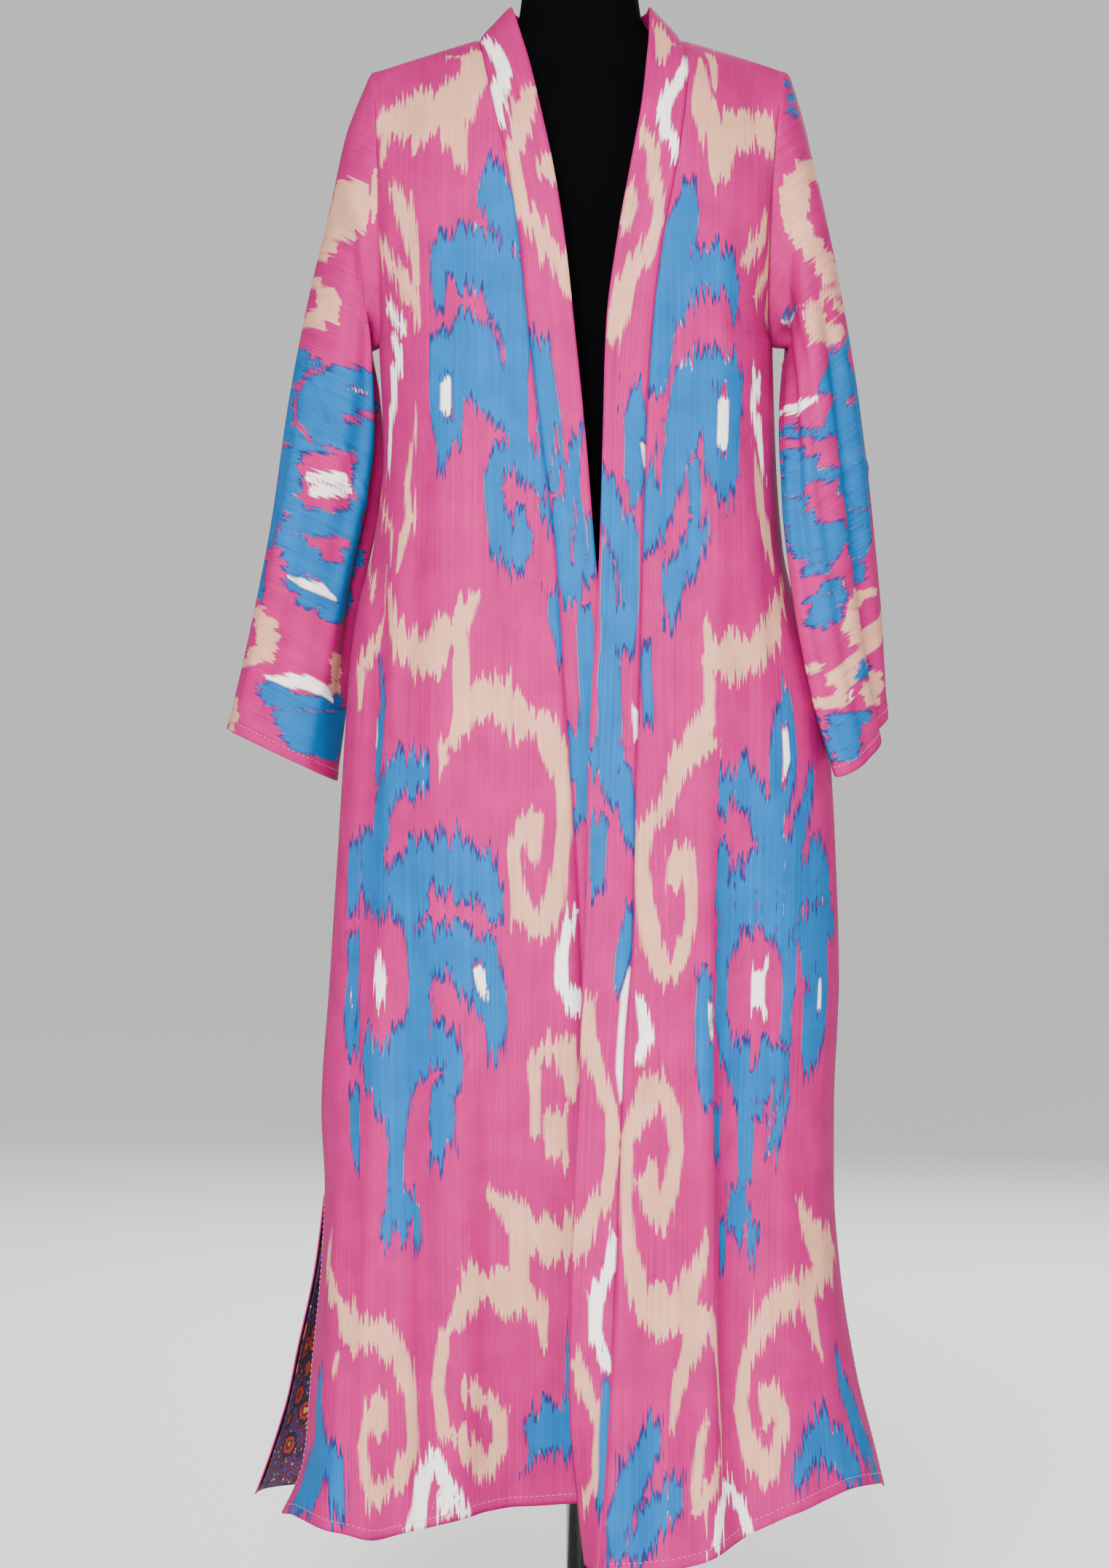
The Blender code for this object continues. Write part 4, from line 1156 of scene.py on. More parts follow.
# %% [markdown]
# ## The printed lining
# Inside, the coat is lined with printed cotton. It shows through the open slit at the
# wearer's right, where the back skirt's inner face turns into view. That lining is its
# own piece, a little inside the back. The same print is the inner face of every other
# piece but the band, which is the same cloth on both sides.

# %% The back's lining
LINING_ACROSS = 120
LINING_UP = 90
LINING_EDGE = 0.0035
LINING_INSET = 0.012


def make_lining():
    """The back's lining, laid just inside the back."""
    sheet = Sheet("kaftan_back_lining", LINING_ACROSS, LINING_UP)
    s = (sheet.s * 2 - 1) * (1 - LINING_INSET)
    top = (LINING_TOP_Z - BACK_HEM_Z) / (UNDERARM_Z - BACK_HEM_Z)
    low = LINING_EDGE / (UNDERARM_Z - BACK_HEM_Z)
    sheet.lay(back_point(s, mix(low, top, sheet.t)), (0, 1, 0))
    middle = sheet.shape[1] // 2
    sheet.u = sheet.across - sheet.across[:, middle:middle + 1]
    sheet.v = sheet.points[..., 2]
    sheet.raise_by(-(WALL / 2 + LINING_GAP))
    return sheet


lining = make_lining()
print(lining.name, round(lining.area, 3), "square metres of print")

# %% [markdown]
# ## Where the dyes lie
# Ikat is patterned before it is woven. Bundles of warp thread are bound and dyed in
# turn, so a shape is clean along the threads and ragged at its two ends, where the
# bundles have slipped past each other. We lay out each dye as broad brush strokes on the
# flat cloth. A row is one stroke, and each of its points has three numbers in
# millimetres: across the cloth from its middle line, up the cloth, and the stroke's half
# width there. On a sleeve they are: up from the cuff, round from the outer line, and half
# width. "pink" takes the blue away again.
#
# The right front has a blue plant at the shoulder, a pale scroll from the waist down,
# and a larger blue flower on the hip. Pale scrolls and white petals end it at the hem.

# %% Strokes of the right front
MOTIFS = {}
MOTIFS["front", -1] = {
    "blue": """
    77 1332 10, 74 1314 15, 65 1297 14, 59 1280 9, 55 1269 2
    124 1227 5, 123 1252 9, 110 1263 22, 91 1263 24, 74 1250 23, 62 1221 17, 53 1186 11, 50 1156 6
    117 1182 15, 117 1158 16, 117 1131 15, 116 1107 11, 117 1090 5
    98 1176 24, 83 1169 29, 67 1146 24, 53 1126 17, 41 1106 12
    95 1192 19, 77 1162 22, 57 1139 19, 45 1109 17, 38 1079 14, 31 1049 6, 24 1026 2
    43 1096 10, 62 1092 9, 75 1075 8, 74 1045 8, 67 1019 11, 53 1006 11, 47 1022 6, 51 1036 5
    192 911 1, 185 877 5, 190 847 6, 193 820 5
    24 970 4, 23 950 5, 17 926 4
    165 817 14, 145 819 15
    176 805 11, 185 782 13, 186 765 14
    199 755 16, 194 731 19, 188 711 16
    224 753 6, 223 726 8, 225 703 5
    156 734 12, 137 741 20, 114 742 22, 94 732 19, 79 717 12, 71 700 4
    159 724 19, 145 700 16, 140 670 14, 141 642 11, 142 615 12, 144 594 16
    133 664 15, 109 669 20, 91 659 21, 80 633 16, 72 610 9, 72 587 5, 72 580 2
    181 576 21, 151 580 21, 122 589 15, 108 572 8, 113 551 7
    171 557 24, 169 540 16, 166 519 9, 166 498 6
    120 545 10, 120 525 12, 120 508 10, 124 497 6
    166 502 6, 168 468 7
    165 454 12, 162 447 14
    174 442 6, 177 422 5, 175 415 2
    163 430 5, 160 423 2
    149 444 6, 146 427 4, 143 417 2
    223 672 6, 221 648 6, 221 614 8, 217 587 8
    211 539 6, 210 505 6, 209 481 2
    44 225 2, 38 239 6, 38 259 11
    26 263 17, 11 267 18
    26 249 12, 11 250 13
    12 330 1, 12 294 2
    252 294 5, 255 271 8, 248 250 10
    243 236 15, 257 217 20, 269 197 18, 284 183 9
    227 228 11, 222 203 7, 218 188 2
    """,
    "pink": """
    125 1210 4, 107 1225 4, 89 1221 5, 75 1202 4, 68 1183 3, 66 1166 2
    88 1112 5, 69 1112 4, 62 1099 2
    44 1156 2, 41 1133 4, 42 1113 4, 36 1096 2
    65 1062 4, 49 1056 5, 35 1053 4
    142 686 4, 132 701 5, 108 706 5, 90 699 5, 75 680 3
    131 630 4, 120 633 4, 114 617 4
    178 686 8, 179 662 16, 177 638 19, 179 610 17, 180 593 9
    """,
    "beige": """
    90 1465 14, 95 1438 16, 119 1403 27, 145 1399 27, 168 1405 22, 177 1386 6, 183 1360 2
    112 1377 13, 104 1347 5
    115 1472 5, 101 1467 6
    171 1334 4, 161 1313 9, 154 1292 8, 150 1272 5, 146 1244 2
    153 1296 1, 145 1273 2, 148 1248 1, 155 1218 1
    200 1306 3, 181 1270 6, 167 1248 8, 152 1230 6, 145 1210 2
    242 1074 3, 181 1030 3, 178 999 1
    152 1121 2, 161 1070 4, 155 1039 6, 164 1019 4, 166 996 1
    238 1037 1, 245 1013 5, 208 980 2
    187 1000 1, 187 955 1, 198 932 4, 219 912 8, 219 878 3
    178 979 3, 172 951 6, 158 930 12, 139 919 15, 124 920 15, 111 938 14, 101 956 11, 91 971 5
    105 942 8, 100 856 8
    116 823 3, 116 840 5, 100 866 11, 83 887 15, 69 881 17, 48 865 17, 34 856 15, 23 833 11
    23 833 11, 15 807 6, 14 770 6, 19 740 7, 24 710 9, 34 686 10, 49 698 10, 54 725 6, 58 751 5
    58 751 5, 50 772 7, 41 782 9, 40 746 5
    39 509 4, 39 545 4, 40 572 6, 29 586 9, 16 583 10, 8 560 7, 8 540 2
    22 526 9, 21 500 9, 14 487 5
    76 459 5, 62 450 10, 43 428 17, 26 419 17, 4 427 15, -7 454 11, -6 474 6
    53 431 8, 53 384 8
    98 393 6, 85 384 15, 67 376 16, 48 371 14, 37 362 9, 32 332 2
    98 376 10, 119 340 6, 126 298 6, 120 264 7, 104 245 9, 86 224 10, 70 239 6, 70 269 6, 84 284 8
    84 284 8, 102 295 5
    244 419 2, 251 389 6, 232 368 8
    227 368 5, 209 338 15, 181 340 14, 163 313 9, 155 283 6, 153 243 6, 165 217 8, 186 198 9
    186 198 9, 196 216 6, 199 244 4, 192 270 6, 183 281 8, 181 257 6
    224 320 2, 228 303 2
    """,
    "white": """
    189 1230 3, 181 1218 5, 166 1205 4
    181 1199 4, 172 1182 6, 172 1172 4
    182 1169 6, 185 1138 5
    191 1135 5, 197 1108 6, 200 1084 3
    117 1158 6, 117 1128 6
    2 704 2, 11 690 5, 17 663 5, 17 643 6, 9 624 6, -1 627 3
    184 659 5, 182 642 8, 181 625 4
    87 652 6, 84 636 6, 80 619 2
    222 631 2, 219 604 2
    133 242 2, 144 209 8, 150 173 8
    133 239 4, 119 214 7, 107 185 6
    125 203 4, 124 187 3
    195 857 1, 196 840 2
    """,
}
print("strokes of the right front:", *MOTIFS["front", -1])

# %% [markdown]
# The band was cut from elsewhere on the cloth, so its shapes don't meet the fronts'.

# %% Strokes of the band's right half
MOTIFS["band", -1] = {
    "blue": """
    10 1152 5, 7 1127 10, 6 1090 12, 6 1055 9, 6 1038 4
    35 1089 2, 21 1038 6, 14 1002 14, 11 964 12, 12 937 5
    34 1008 4, 28 958 4
    21 922 7, 21 852 8, 17 822 8, 14 790 9, 10 760 6
    10 822 7, 7 792 6
    """,
    "pink": """
    16 1086 2, 0 1035 2
    36 1046 2, 20 1014 2, 14 975 2
    9 921 5, 3 829 5
    """,
    "beige": """
    36 1394 4, 26 1373 9, 16 1345 6, 6 1327 5, 6 1308 5, 6 1279 8, 16 1260 9, 26 1237 10
    26 1237 10, 33 1227 9, 37 1201 4
    36 1327 5, 32 1311 8, 36 1297 4
    3 592 3, 7 568 7, 3 552 7, 11 537 7, 18 515 5
    0 488 6, 0 456 6
    """,
    "white": """
    7 1461 3, 13 1440 6, 16 1414 6, 10 1398 5, 3 1379 6, 0 1359 1
    """,
}
print("strokes of the band's right half:", *MOTIFS["band", -1])

# %% [markdown]
# Most of the band's left half is blue from the chest down to the waist.

# %% Strokes of the band's left half
MOTIFS["band", 1] = {
    "blue": """
    10 1152 5, 10 1130 10, 6 1104 12, 9 1079 9, 9 1060 3
    37 1081 2, 28 1056 9, 19 1027 15, 19 996 16, 19 963 16, 20 935 14, 24 907 12, 24 879 10
    24 879 10, 24 852 10, 17 826 14
    27 841 15, 14 818 12, 7 797 9, 0 767 4
    31 780 7, 32 735 6
    4 708 2, 7 680 7, 10 647 3
    0 334 2, 0 312 6, 0 278 7, 0 256 6, 0 220 5
    """,
    "pink": """
    34 1035 2, 25 1008 2, 19 974 1
    13 924 5, 7 835 4
    """,
    "beige": """
    28 1505 5, 22 1489 10, 26 1470 5
    36 1386 4, 23 1367 5, 17 1340 6, 7 1306 5, 13 1274 8, 27 1244 10, 30 1223 9, 37 1195 3
    37 1337 2, 33 1314 6, 36 1294 4
    33 633 4, 31 597 7, 18 568 6, 9 538 7, 3 520 6
    9 544 6, 6 508 6, 13 472 7, 29 441 10, 35 422 6
    30 330 6, 18 302 7, 6 275 6, 9 239 6, 22 213 6
    """,
    "white": """
    0 1481 2, 3 1454 5, 13 1432 6, 19 1408 6, 13 1384 6, 0 1364 2
    3 1110 3, 0 1088 2
    3 885 3, 0 855 3
    0 667 2, 0 645 6, 0 626 6, 0 601 6, 0 573 6, 0 545 2
    3 442 2, 6 406 5, 16 385 6, 15 352 5, 6 336 6, 0 320 2
    """,
}
print("strokes of the band's left half:", *MOTIFS["band", 1])

# %% [markdown]
# The left front answers it, mirrored and shifted, as the two fronts were cut from the
# same run of cloth.

# %% Strokes of the left front
MOTIFS["front", 1] = {
    "blue": """
    93 1323 4, 91 1305 11, 87 1288 14, 81 1264 12, 74 1240 9, 69 1213 8, 65 1189 6
    77 1216 12, 89 1240 15, 103 1252 19, 118 1252 19, 131 1242 12, 138 1223 4
    71 1206 11, 68 1182 10, 66 1154 8
    95 1158 14, 105 1165 15, 121 1166 14, 133 1153 11, 137 1133 6
    94 1144 16, 91 1120 17
    101 1158 12, 86 1113 15, 73 1075 15, 65 1044 14, 56 1019 9
    100 1077 8, 102 1050 8, 101 1022 9, 89 997 11, 79 982 10, 77 961 5, 74 951 1
    123 1132 18, 123 1082 16, 123 1056 4
    54 919 4, 57 871 4
    190 888 4, 185 864 12, 184 837 16, 183 814 14, 180 790 9, 176 766 5
    125 793 5, 129 807 10, 146 811 12, 159 793 11, 168 769 12
    221 820 5, 213 794 7, 202 763 9, 195 746 10
    176 756 14, 169 739 19
    150 730 14, 222 732 16
    136 714 14, 242 709 15
    133 696 9, 258 688 10
    228 751 11, 245 728 10
    127 749 6, 124 708 7
    133 682 12, 128 664 9
    190 679 11, 193 663 8
    209 685 11, 243 692 10
    124 677 8, 127 648 7, 125 610 8, 133 585 9
    106 643 6, 105 609 7, 106 572 7, 109 543 4
    195 670 8, 196 634 7, 195 594 7
    222 689 18, 228 670 20, 232 637 20, 232 608 18, 226 581 13, 222 565 6
    147 575 12, 179 575 10
    150 563 12, 177 564 9
    154 547 11, 171 550 10
    157 532 9, 166 532 7
    157 519 8, 158 472 6
    151 459 9, 152 443 13
    132 430 6, 133 410 2
    152 429 5, 153 419 2
    166 428 6, 164 413 2
    192 577 5, 192 544 8, 185 516 7, 181 495 3
    121 529 6, 121 499 4
    62 270 5, 57 253 10, 45 235 12, 39 218 10, 31 194 10, 30 170 7
    78 221 8, 73 206 13, 62 194 12, 50 180 8, 44 170 4
    269 313 3, 276 293 8, 289 269 11, 299 249 12, 313 228 11, 322 211 6
    242 266 7, 228 254 13, 217 238 10, 209 225 6
    250 247 14, 269 232 14, 277 222 11
    """,
    "pink": """
    67 1130 2, 69 1106 4, 66 1082 4, 65 1064 2
    104 1081 3, 107 1057 4, 105 1033 3
    93 1039 4, 78 1016 4, 64 999 4
    134 768 5, 143 749 4, 147 733 2
    164 677 6, 164 650 16, 164 627 19, 163 604 14, 163 581 5, 160 570 2
    195 676 2, 208 701 2, 244 709 2, 293 704 3
    218 636 3, 204 628 4, 201 608 3, 203 582 3, 200 562 2, 187 533 2, 178 508 2
    119 686 2, 119 669 3
    267 281 2, 274 261 3, 263 248 2
    271 248 2, 295 230 2, 325 214 2
    238 228 2, 250 220 3
    51 215 2, 44 197 2, 38 180 2
    """,
    "beige": """
    107 1460 3, 107 1441 6, 106 1408 10, 115 1388 13, 122 1364 14, 121 1342 9, 118 1329 2
    121 1377 15, 140 1382 20, 165 1393 20, 178 1389 9, 186 1368 4, 190 1336 4, 192 1299 6
    192 1299 6, 189 1264 6, 169 1236 4
    112 1480 2, 118 1455 4, 119 1429 2
    174 1312 3, 171 1294 7, 159 1273 9, 147 1262 4
    205 1265 6, 198 1226 6, 220 1213 5, 238 1199 3
    165 1098 2, 168 1072 6, 172 1049 8, 180 1023 9, 189 1000 3
    205 987 3, 191 961 8, 175 946 11, 157 924 14, 136 918 17, 118 915 15, 111 931 6, 106 951 2
    110 907 5, 109 879 5, 103 861 11, 93 838 11, 82 823 9
    107 844 10, 93 832 11, 79 813 7, 67 785 6, 54 771 6, 50 743 6, 54 709 6, 61 674 9, 72 647 9
    72 647 9, 85 665 7, 94 694 5, 94 729 5, 90 752 7, 82 747 9, 79 726 7
    62 550 14, 49 532 9, 38 505 6, 37 463 5, 40 415 6, 49 380 9, 67 364 15, 84 368 15, 97 393 7
    97 393 7, 105 416 4, 108 431 1
    67 550 12, 78 531 7, 82 501 6, 77 469 6, 68 447 7, 60 457 9, 56 474 9, 61 484 5
    102 360 11, 94 330 7, 81 301 5, 77 269 2
    109 366 6, 121 318 2, 126 270 2, 123 242 4, 113 225 6, 100 203 6
    109 279 2, 102 256 4, 99 223 5, 100 199 4
    213 456 2, 230 428 9, 247 411 17, 271 403 15, 249 389 15
    223 378 17, 203 374 19, 185 363 14, 172 341 9, 160 315 7, 154 285 7, 162 257 9, 168 235 10
    168 235 10, 181 230 7, 189 251 6, 195 273 6, 186 295 8, 179 296 7, 181 279 6, 179 268 2
    227 365 10, 234 342 6, 241 323 2
    """,
    "white": """
    163 1173 2, 167 1157 6, 162 1134 5
    166 1127 5, 173 1104 6, 178 1082 2
    123 1139 6, 122 1099 6
    186 857 4, 188 828 5, 183 811 2
    49 626 2, 53 615 5, 56 595 6, 50 581 4
    164 650 6, 164 620 6
    237 644 3, 237 614 4
    109 624 3, 111 594 2
    132 223 4, 122 196 6, 117 177 5
    140 221 4, 155 198 5, 161 183 5
    """,
}
print("strokes of the left front:", *MOTIFS["front", 1])

# %% [markdown]
# The sleeves are cut crosswise. Their shapes are wide round the arm and end raggedly
# at its outer and inner lines.

# %% Strokes of the right sleeve
MOTIFS["sleeve", -1] = {
    "blue": """
    344 -14 5, 344 31 4
    331 4 6, 337 55 5
    324 -14 6, 324 31 5
    329 55 6, 365 203 5
    317 40 7, 356 205 7
    303 35 8, 344 206 8
    289 39 7, 303 90 7
    313 136 6, 326 185 6
    277 39 7, 312 176 8
    265 39 6, 277 76 6
    279 87 4, 301 172 5
    307 -9 8, 305 13 8
    290 -9 8, 287 17 8
    273 -9 8, 272 30 8
    251 0 7, 253 38 7
    238 -9 7, 239 42 7
    220 4 7, 226 45 7
    206 8 7, 215 52 6
    281 128 6, 290 163 6
    267 124 8, 274 158 8
    252 126 8, 261 153 8
    237 122 7, 246 153 7
    193 8 6, 226 123 6
    184 8 6, 225 151 6
    174 12 6, 184 63 6
    206 122 6, 214 147 6
    169 50 6, 180 80 6
    191 115 6, 201 152 7
    160 54 6, 189 144 6
    146 57 7, 174 132 7
    139 75 6, 163 139 7
    136 98 5, 149 134 5
    165 -1 6, 165 -5 6
    146 -1 6, 150 12 6
    136 -1 6, 136 16 6
    126 -5 4, 125 24 4
    49 55 5, 56 75 5
    42 63 6, 70 142 6
    31 81 8, 60 163 8
    21 89 6, 45 165 7
    14 98 6, 35 166 7
    18 126 4, 21 155 4
    """,
    "pink": """
    338 60 3, 327 36 3, 314 26 3, 299 22 3, 283 35 3, 276 52 3
    303 96 3, 316 136 3, 329 186 4
    202 41 3, 186 29 3, 168 28 3, 152 47 3, 132 57 3
    """,
    "beige": """
    492 20 7, 502 114 7
    478 15 8, 492 132 8
    464 10 8, 479 136 8
    454 -8 7, 461 102 6
    442 -8 6, 441 50 5
    434 -9 3, 431 33 3
    409 0 5, 409 28 5
    399 32 6, 404 59 6
    389 37 6, 397 70 6
    378 13 5, 386 70 5
    373 -14 5, 373 52 4
    518 121 5, 487 154 6
    107 -1 5, 111 32 5
    102 24 5, 105 47 5
    92 36 5, 96 50 5
    84 40 5, 87 54 5
    72 24 5, 79 50 5
    60 3 4, 67 40 4
    102 117 5, 105 133 5
    90 121 6, 93 133 6
    78 125 5, 82 138 5
    25 4 5, 25 25 5
    11 8 6, 14 33 6
    0 21 4, 4 33 4
    """,
    "white": """
    329 94 1, 332 113 3, 337 141 2
    242 58 4, 254 105 5
    231 66 4, 247 114 4
    151 53 2, 152 75 5, 154 91 6, 152 106 3
    60 54 2, 63 75 5, 71 98 6, 70 118 5, 67 130 3
    """,
}
print("strokes of the right sleeve:", *MOTIFS["sleeve", -1])

# %% [markdown]
# The left sleeve shows a pale scroll, then blue, then pale again at the cuff.

# %% Strokes of the left sleeve
MOTIFS["sleeve", 1] = {
    "blue": """
    560 33 3, 557 18 3
    546 38 3, 545 12 3
    537 49 3, 532 25 3
    330 78 5, 318 47 5
    322 96 6, 305 40 6
    315 107 6, 291 34 6
    361 -213 4, 319 114 5
    345 -205 4, 280 34 6
    322 -195 6, 287 110 6
    290 99 6, 264 19 6
    310 185 4, 279 115 4
    279 104 6, 251 19 6
    258 73 6, 238 14 6
    250 92 6, 229 28 6
    238 98 6, 215 28 6
    227 103 6, 202 27 6
    206 78 6, 189 32 6
    190 72 6, 176 37 6
    185 104 6, 163 43 6
    169 99 6, 155 54 6
    145 67 5, 141 61 5
    144 100 4, 133 61 4
    290 179 5, 281 154 5
    278 176 5, 261 135 5
    268 175 4, 241 109 5
    257 174 6, 250 156 6
    243 173 6, 235 155 6
    231 172 6, 220 147 5
    217 168 6, 192 109 6
    207 167 6, 185 114 6
    195 164 4, 177 125 5
    179 158 3, 169 135 4
    158 144 4, 146 122 4
    150 156 5, 138 127 5
    142 160 5, 125 133 5
    134 161 3, 126 151 3
    415 216 2, 401 162 2
    76 121 3, 72 109 3
    69 127 3, 55 78 3
    49 171 4, 31 129 4
    38 175 6, 28 150 6
    28 178 6, 21 155 6
    18 179 5, 14 164 5
    """,
    "beige": """
    493 69 5, 481 3 5
    489 104 6, 471 6 5
    482 123 6, 468 60 6
    474 129 6, 458 72 6
    466 136 6, 453 86 6
    455 139 6, 439 81 6
    441 124 6, 422 63 6
    426 109 6, 406 41 6
    408 88 5, 393 18 5
    396 77 4, 381 17 4
    386 89 4, 370 12 4
    388 128 4, 379 87 4
    383 142 5, 366 84 4
    373 137 4, 344 44 5
    362 133 3, 341 55 4
    368 58 4, 357 24 4
    133 106 4, 112 44 4
    129 117 4, 112 69 4
    121 123 5, 111 102 5
    113 129 5, 103 108 5
    100 124 4, 72 51 4
    84 63 4, 79 45 4
    97 175 4, 97 170 4
    88 -173 5, 82 162 5
    77 -174 6, 70 155 6
    67 177 5, 59 156 5
    48 78 4, 41 59 4
    54 122 5, 32 60 5
    44 123 4, 22 67 4
    """,
    "white": """
    415 224 2, 402 176 2
    404 177 1, 388 128 1
    333 196 3, 320 159 4, 311 124 2
    226 109 1, 223 109 1
    150 121 1, 134 127 1
    55 148 2, 59 143 2
    76 126 2, 76 121 1
    """,
}
print("strokes of the left sleeve:", *MOTIFS["sleeve", 1])

# %% [markdown]
# A stroke becomes a field: at every point of the grid, how far we are inside the nearest
# stroke's edge, in metres, and below zero outside. The mesh keeps the three fields, and
# how steeply each changes along the threads, for the material to cut ragged edges with.

# %% Fields of the dyes
FAR_OUTSIDE = -0.2
LEAST_STEP = 1e-5


def field(text, across, up):
    """Metres inside the nearest stroke's edge, below zero when outside them all."""
    inside = np.full(across.shape, FAR_OUTSIDE)
    for row in text.strip().splitlines():
        points = np.array([[float(n) for n in p.split()] for p in row.split(",")]) / 1000
        for start, end in zip(points, points[1:]):
            line = end[:2] - start[:2]
            long = max(float(line @ line), 1e-9)
            share = ((across - start[0]) * line[0] + (up - start[1]) * line[1]) / long
            share = np.clip(share, 0, 1)
            away = np.hypot(across - start[0] - share * line[0], up - start[1] - share * line[1])
            inside = np.maximum(inside, mix(start[2], end[2], share) - away)
    return inside


def dye_fields(table, across, up):
    """Fields of blue, beige and white. Pink takes blue away, and white both of them."""
    layer = {name: field(text, across, up) for name, text in table.items()}
    blue = np.minimum(layer["blue"], -layer["white"])
    if "pink" in layer:
        blue = np.minimum(blue, -layer["pink"])
    beige = np.minimum(layer["beige"], -layer["white"])
    return np.stack((blue, beige, layer["white"]), -1)


def dye(sheet, fields, start, axis=0, ragged=1.0):
    """Keep the fields, their slopes along the threads and the cloth map on the mesh."""
    step = np.gradient(sheet.v, axis=axis)
    step = np.where(np.abs(step) < LEAST_STEP, LEAST_STEP, step)
    slopes = np.abs(np.gradient(fields, axis=axis) / step[..., None])
    note(sheet, "motif", fields)
    note(sheet, "slope", np.clip(slopes, 0, 1) * ragged)
    note(sheet, "edge", sheet.finished)
    note(sheet, "crease", getattr(sheet, "crease", 0 * sheet.u + 1))
    map_cloth(sheet, sheet.u + start, sheet.v)


print("the fields are in metres")

# %% [markdown]
# The two fronts, the band and the sleeves have their own strokes. The back repeats both
# fronts' strokes, each on its own half, as a coat cut from one length of cloth would. The
# threads run up the grid (axis 0), but on the sleeves across it (axis 1). Each piece's map
# starts metres away from the others, so no two pieces share their noise.

# %% Dye the pieces
SLEEVE_RAGGED = 0.45
MAP_START = {"front": 5, "band": 10, "sleeve": 15, "back": 20, "lining": 30}

for kind, pair in (("front", fronts), ("band", bands)):
    for side, sheet in pair.items():
        fields = dye_fields(MOTIFS[kind, side], sheet.u, sheet.v)
        dye(sheet, fields, MAP_START[kind] + side)
for side, sheet in sleeves.items():
    fields = dye_fields(MOTIFS["sleeve", side], sheet.u, np.abs(sheet.v))
    dye(sheet, fields, MAP_START["sleeve"] + side, axis=1, ragged=SLEEVE_RAGGED)
halves = {side: dye_fields(MOTIFS["front", side], np.abs(back.u), back.v) for side in (-1, 1)}
dye(back, np.where(back.u[..., None] < 0, halves[-1], halves[1]), MAP_START["back"])
map_cloth(lining, lining.u + MAP_START["lining"], lining.v)
print("dyes are laid on", len((*fronts, *bands, *sleeves, back)), "pieces")

# %% [markdown]
# ## The woven cloth
# The cloth is a fine cotton warp-faced weave with a faint crosswise rib. Its undyed
# thread is off-white. Where pink lies over blue it turns dark violet, and where neither
# reached the thread stays pale. All of it is worked out from the fields on the mesh and
# from noise stretched along the warp.
#
# A material is a tree of nodes. One small function adds a node, sets its own fields and
# fills its inputs with numbers, colours or links. It gives back one output, so a tree
# reads like a formula.

# %% Helper that adds one shader node
MATH = "ShaderNodeMath"
VECTOR = "ShaderNodeVectorMath"
NOISE = "ShaderNodeTexNoise"
MIX = "ShaderNodeMix"
ATTRIBUTE = "ShaderNodeAttribute"
RANGE = "ShaderNodeMapRange"
TIMES = {"operation": "MULTIPLY"}
TIMES_PLUS = {"operation": "MULTIPLY_ADD"}
COLOURS = {"data_type": "RGBA"}
MIXED = 2


def add(tree, kind, settings=(), out=0, **inputs):
    """Add a node. Inputs are sockets, by name or by _number; out picks the output."""
    node = tree.nodes.new(kind)
    for name, value in dict(settings).items():
        setattr(node, name, value)
    for name, value in inputs.items():
        socket = node.inputs[int(name[1:]) if name[0] == "_" else name.replace("_", " ")]
        if isinstance(value, bpy.types.NodeSocket):
            tree.links.new(value, socket)
        else:
            socket.default_value = value
    return node.outputs[out]


def start_material(name, roughness):
    """A new material, its tree and its shader."""
    material = bpy.data.materials.new(name)
    material.use_nodes = True
    shader = material.node_tree.nodes["Principled BSDF"]
    shader.inputs["Roughness"].default_value = roughness
    return material, material.node_tree, shader


print("one helper adds every shader node")

# %% [markdown]
# ## How far the dye slips
# The ragged ends come from four kinds of slip along the warp, added up: slow drifts over
# a hand's width, narrow flames, whole bundles of thread, and single threads. A slip in
# metres, times how steeply a field changes along the warp, moves that shape's end and
# leaves its clean sides alone.

# %% Slip of the dyes
THREAD_MM = 1.2
BUNDLE_MM = 3.0
DRIFT_MM = (9, 260)
FLAME_MM = (2.2, 110)
SLIPS = {"drift": 0.018, "flame": 0.023, "bundle": 0.0065, "thread": 0.003}
SPREAD = 0.004
SHARPNESS = 450.0


def stretched(tree, u, v, across_mm, along_mm, seed, detail=1.0):
    """Noise with grains of the given size across and along the warp, from -1 to 1."""
    x = add(tree, MATH, TIMES, _0=u, _1=1000 / across_mm)
    y = add(tree, MATH, TIMES, _0=v, _1=1000 / along_mm)
    place = add(tree, "ShaderNodeCombineXYZ", X=x, Y=y, Z=float(seed))
    grain = add(tree, NOISE, Vector=place, Scale=1.0, Detail=detail)
    return add(tree, MATH, TIMES_PLUS, _0=grain, _1=2.0, _2=-1.0)


def bundles(tree, u, width_mm, seed):
    """A different number from -1 to 1 for each bundle of threads."""
    count = add(tree, MATH, TIMES_PLUS, _0=u, _1=1000 / width_mm, _2=float(seed))
    count = add(tree, MATH, {"operation": "FLOOR"}, _0=count)
    chance = add(tree, "ShaderNodeTexWhiteNoise", {"noise_dimensions": "1D"}, "Value", W=count)
    return add(tree, MATH, TIMES_PLUS, _0=chance, _1=2.0, _2=-1.0)


def slip(tree, u, v, seed):
    """How far, in metres, the dye has slipped along the warp at a place."""
    kinds = {
        "drift": stretched(tree, u, v, *DRIFT_MM, seed),
        "flame": stretched(tree, u, v, *FLAME_MM, seed + 3),
        "bundle": bundles(tree, u, BUNDLE_MM, seed),
        "thread": bundles(tree, u, THREAD_MM, seed + 7),
    }
    total = SPREAD
    for name, noise in kinds.items():
        total = add(tree, MATH, TIMES_PLUS, _0=noise, _1=SLIPS[name], _2=total)
    return total


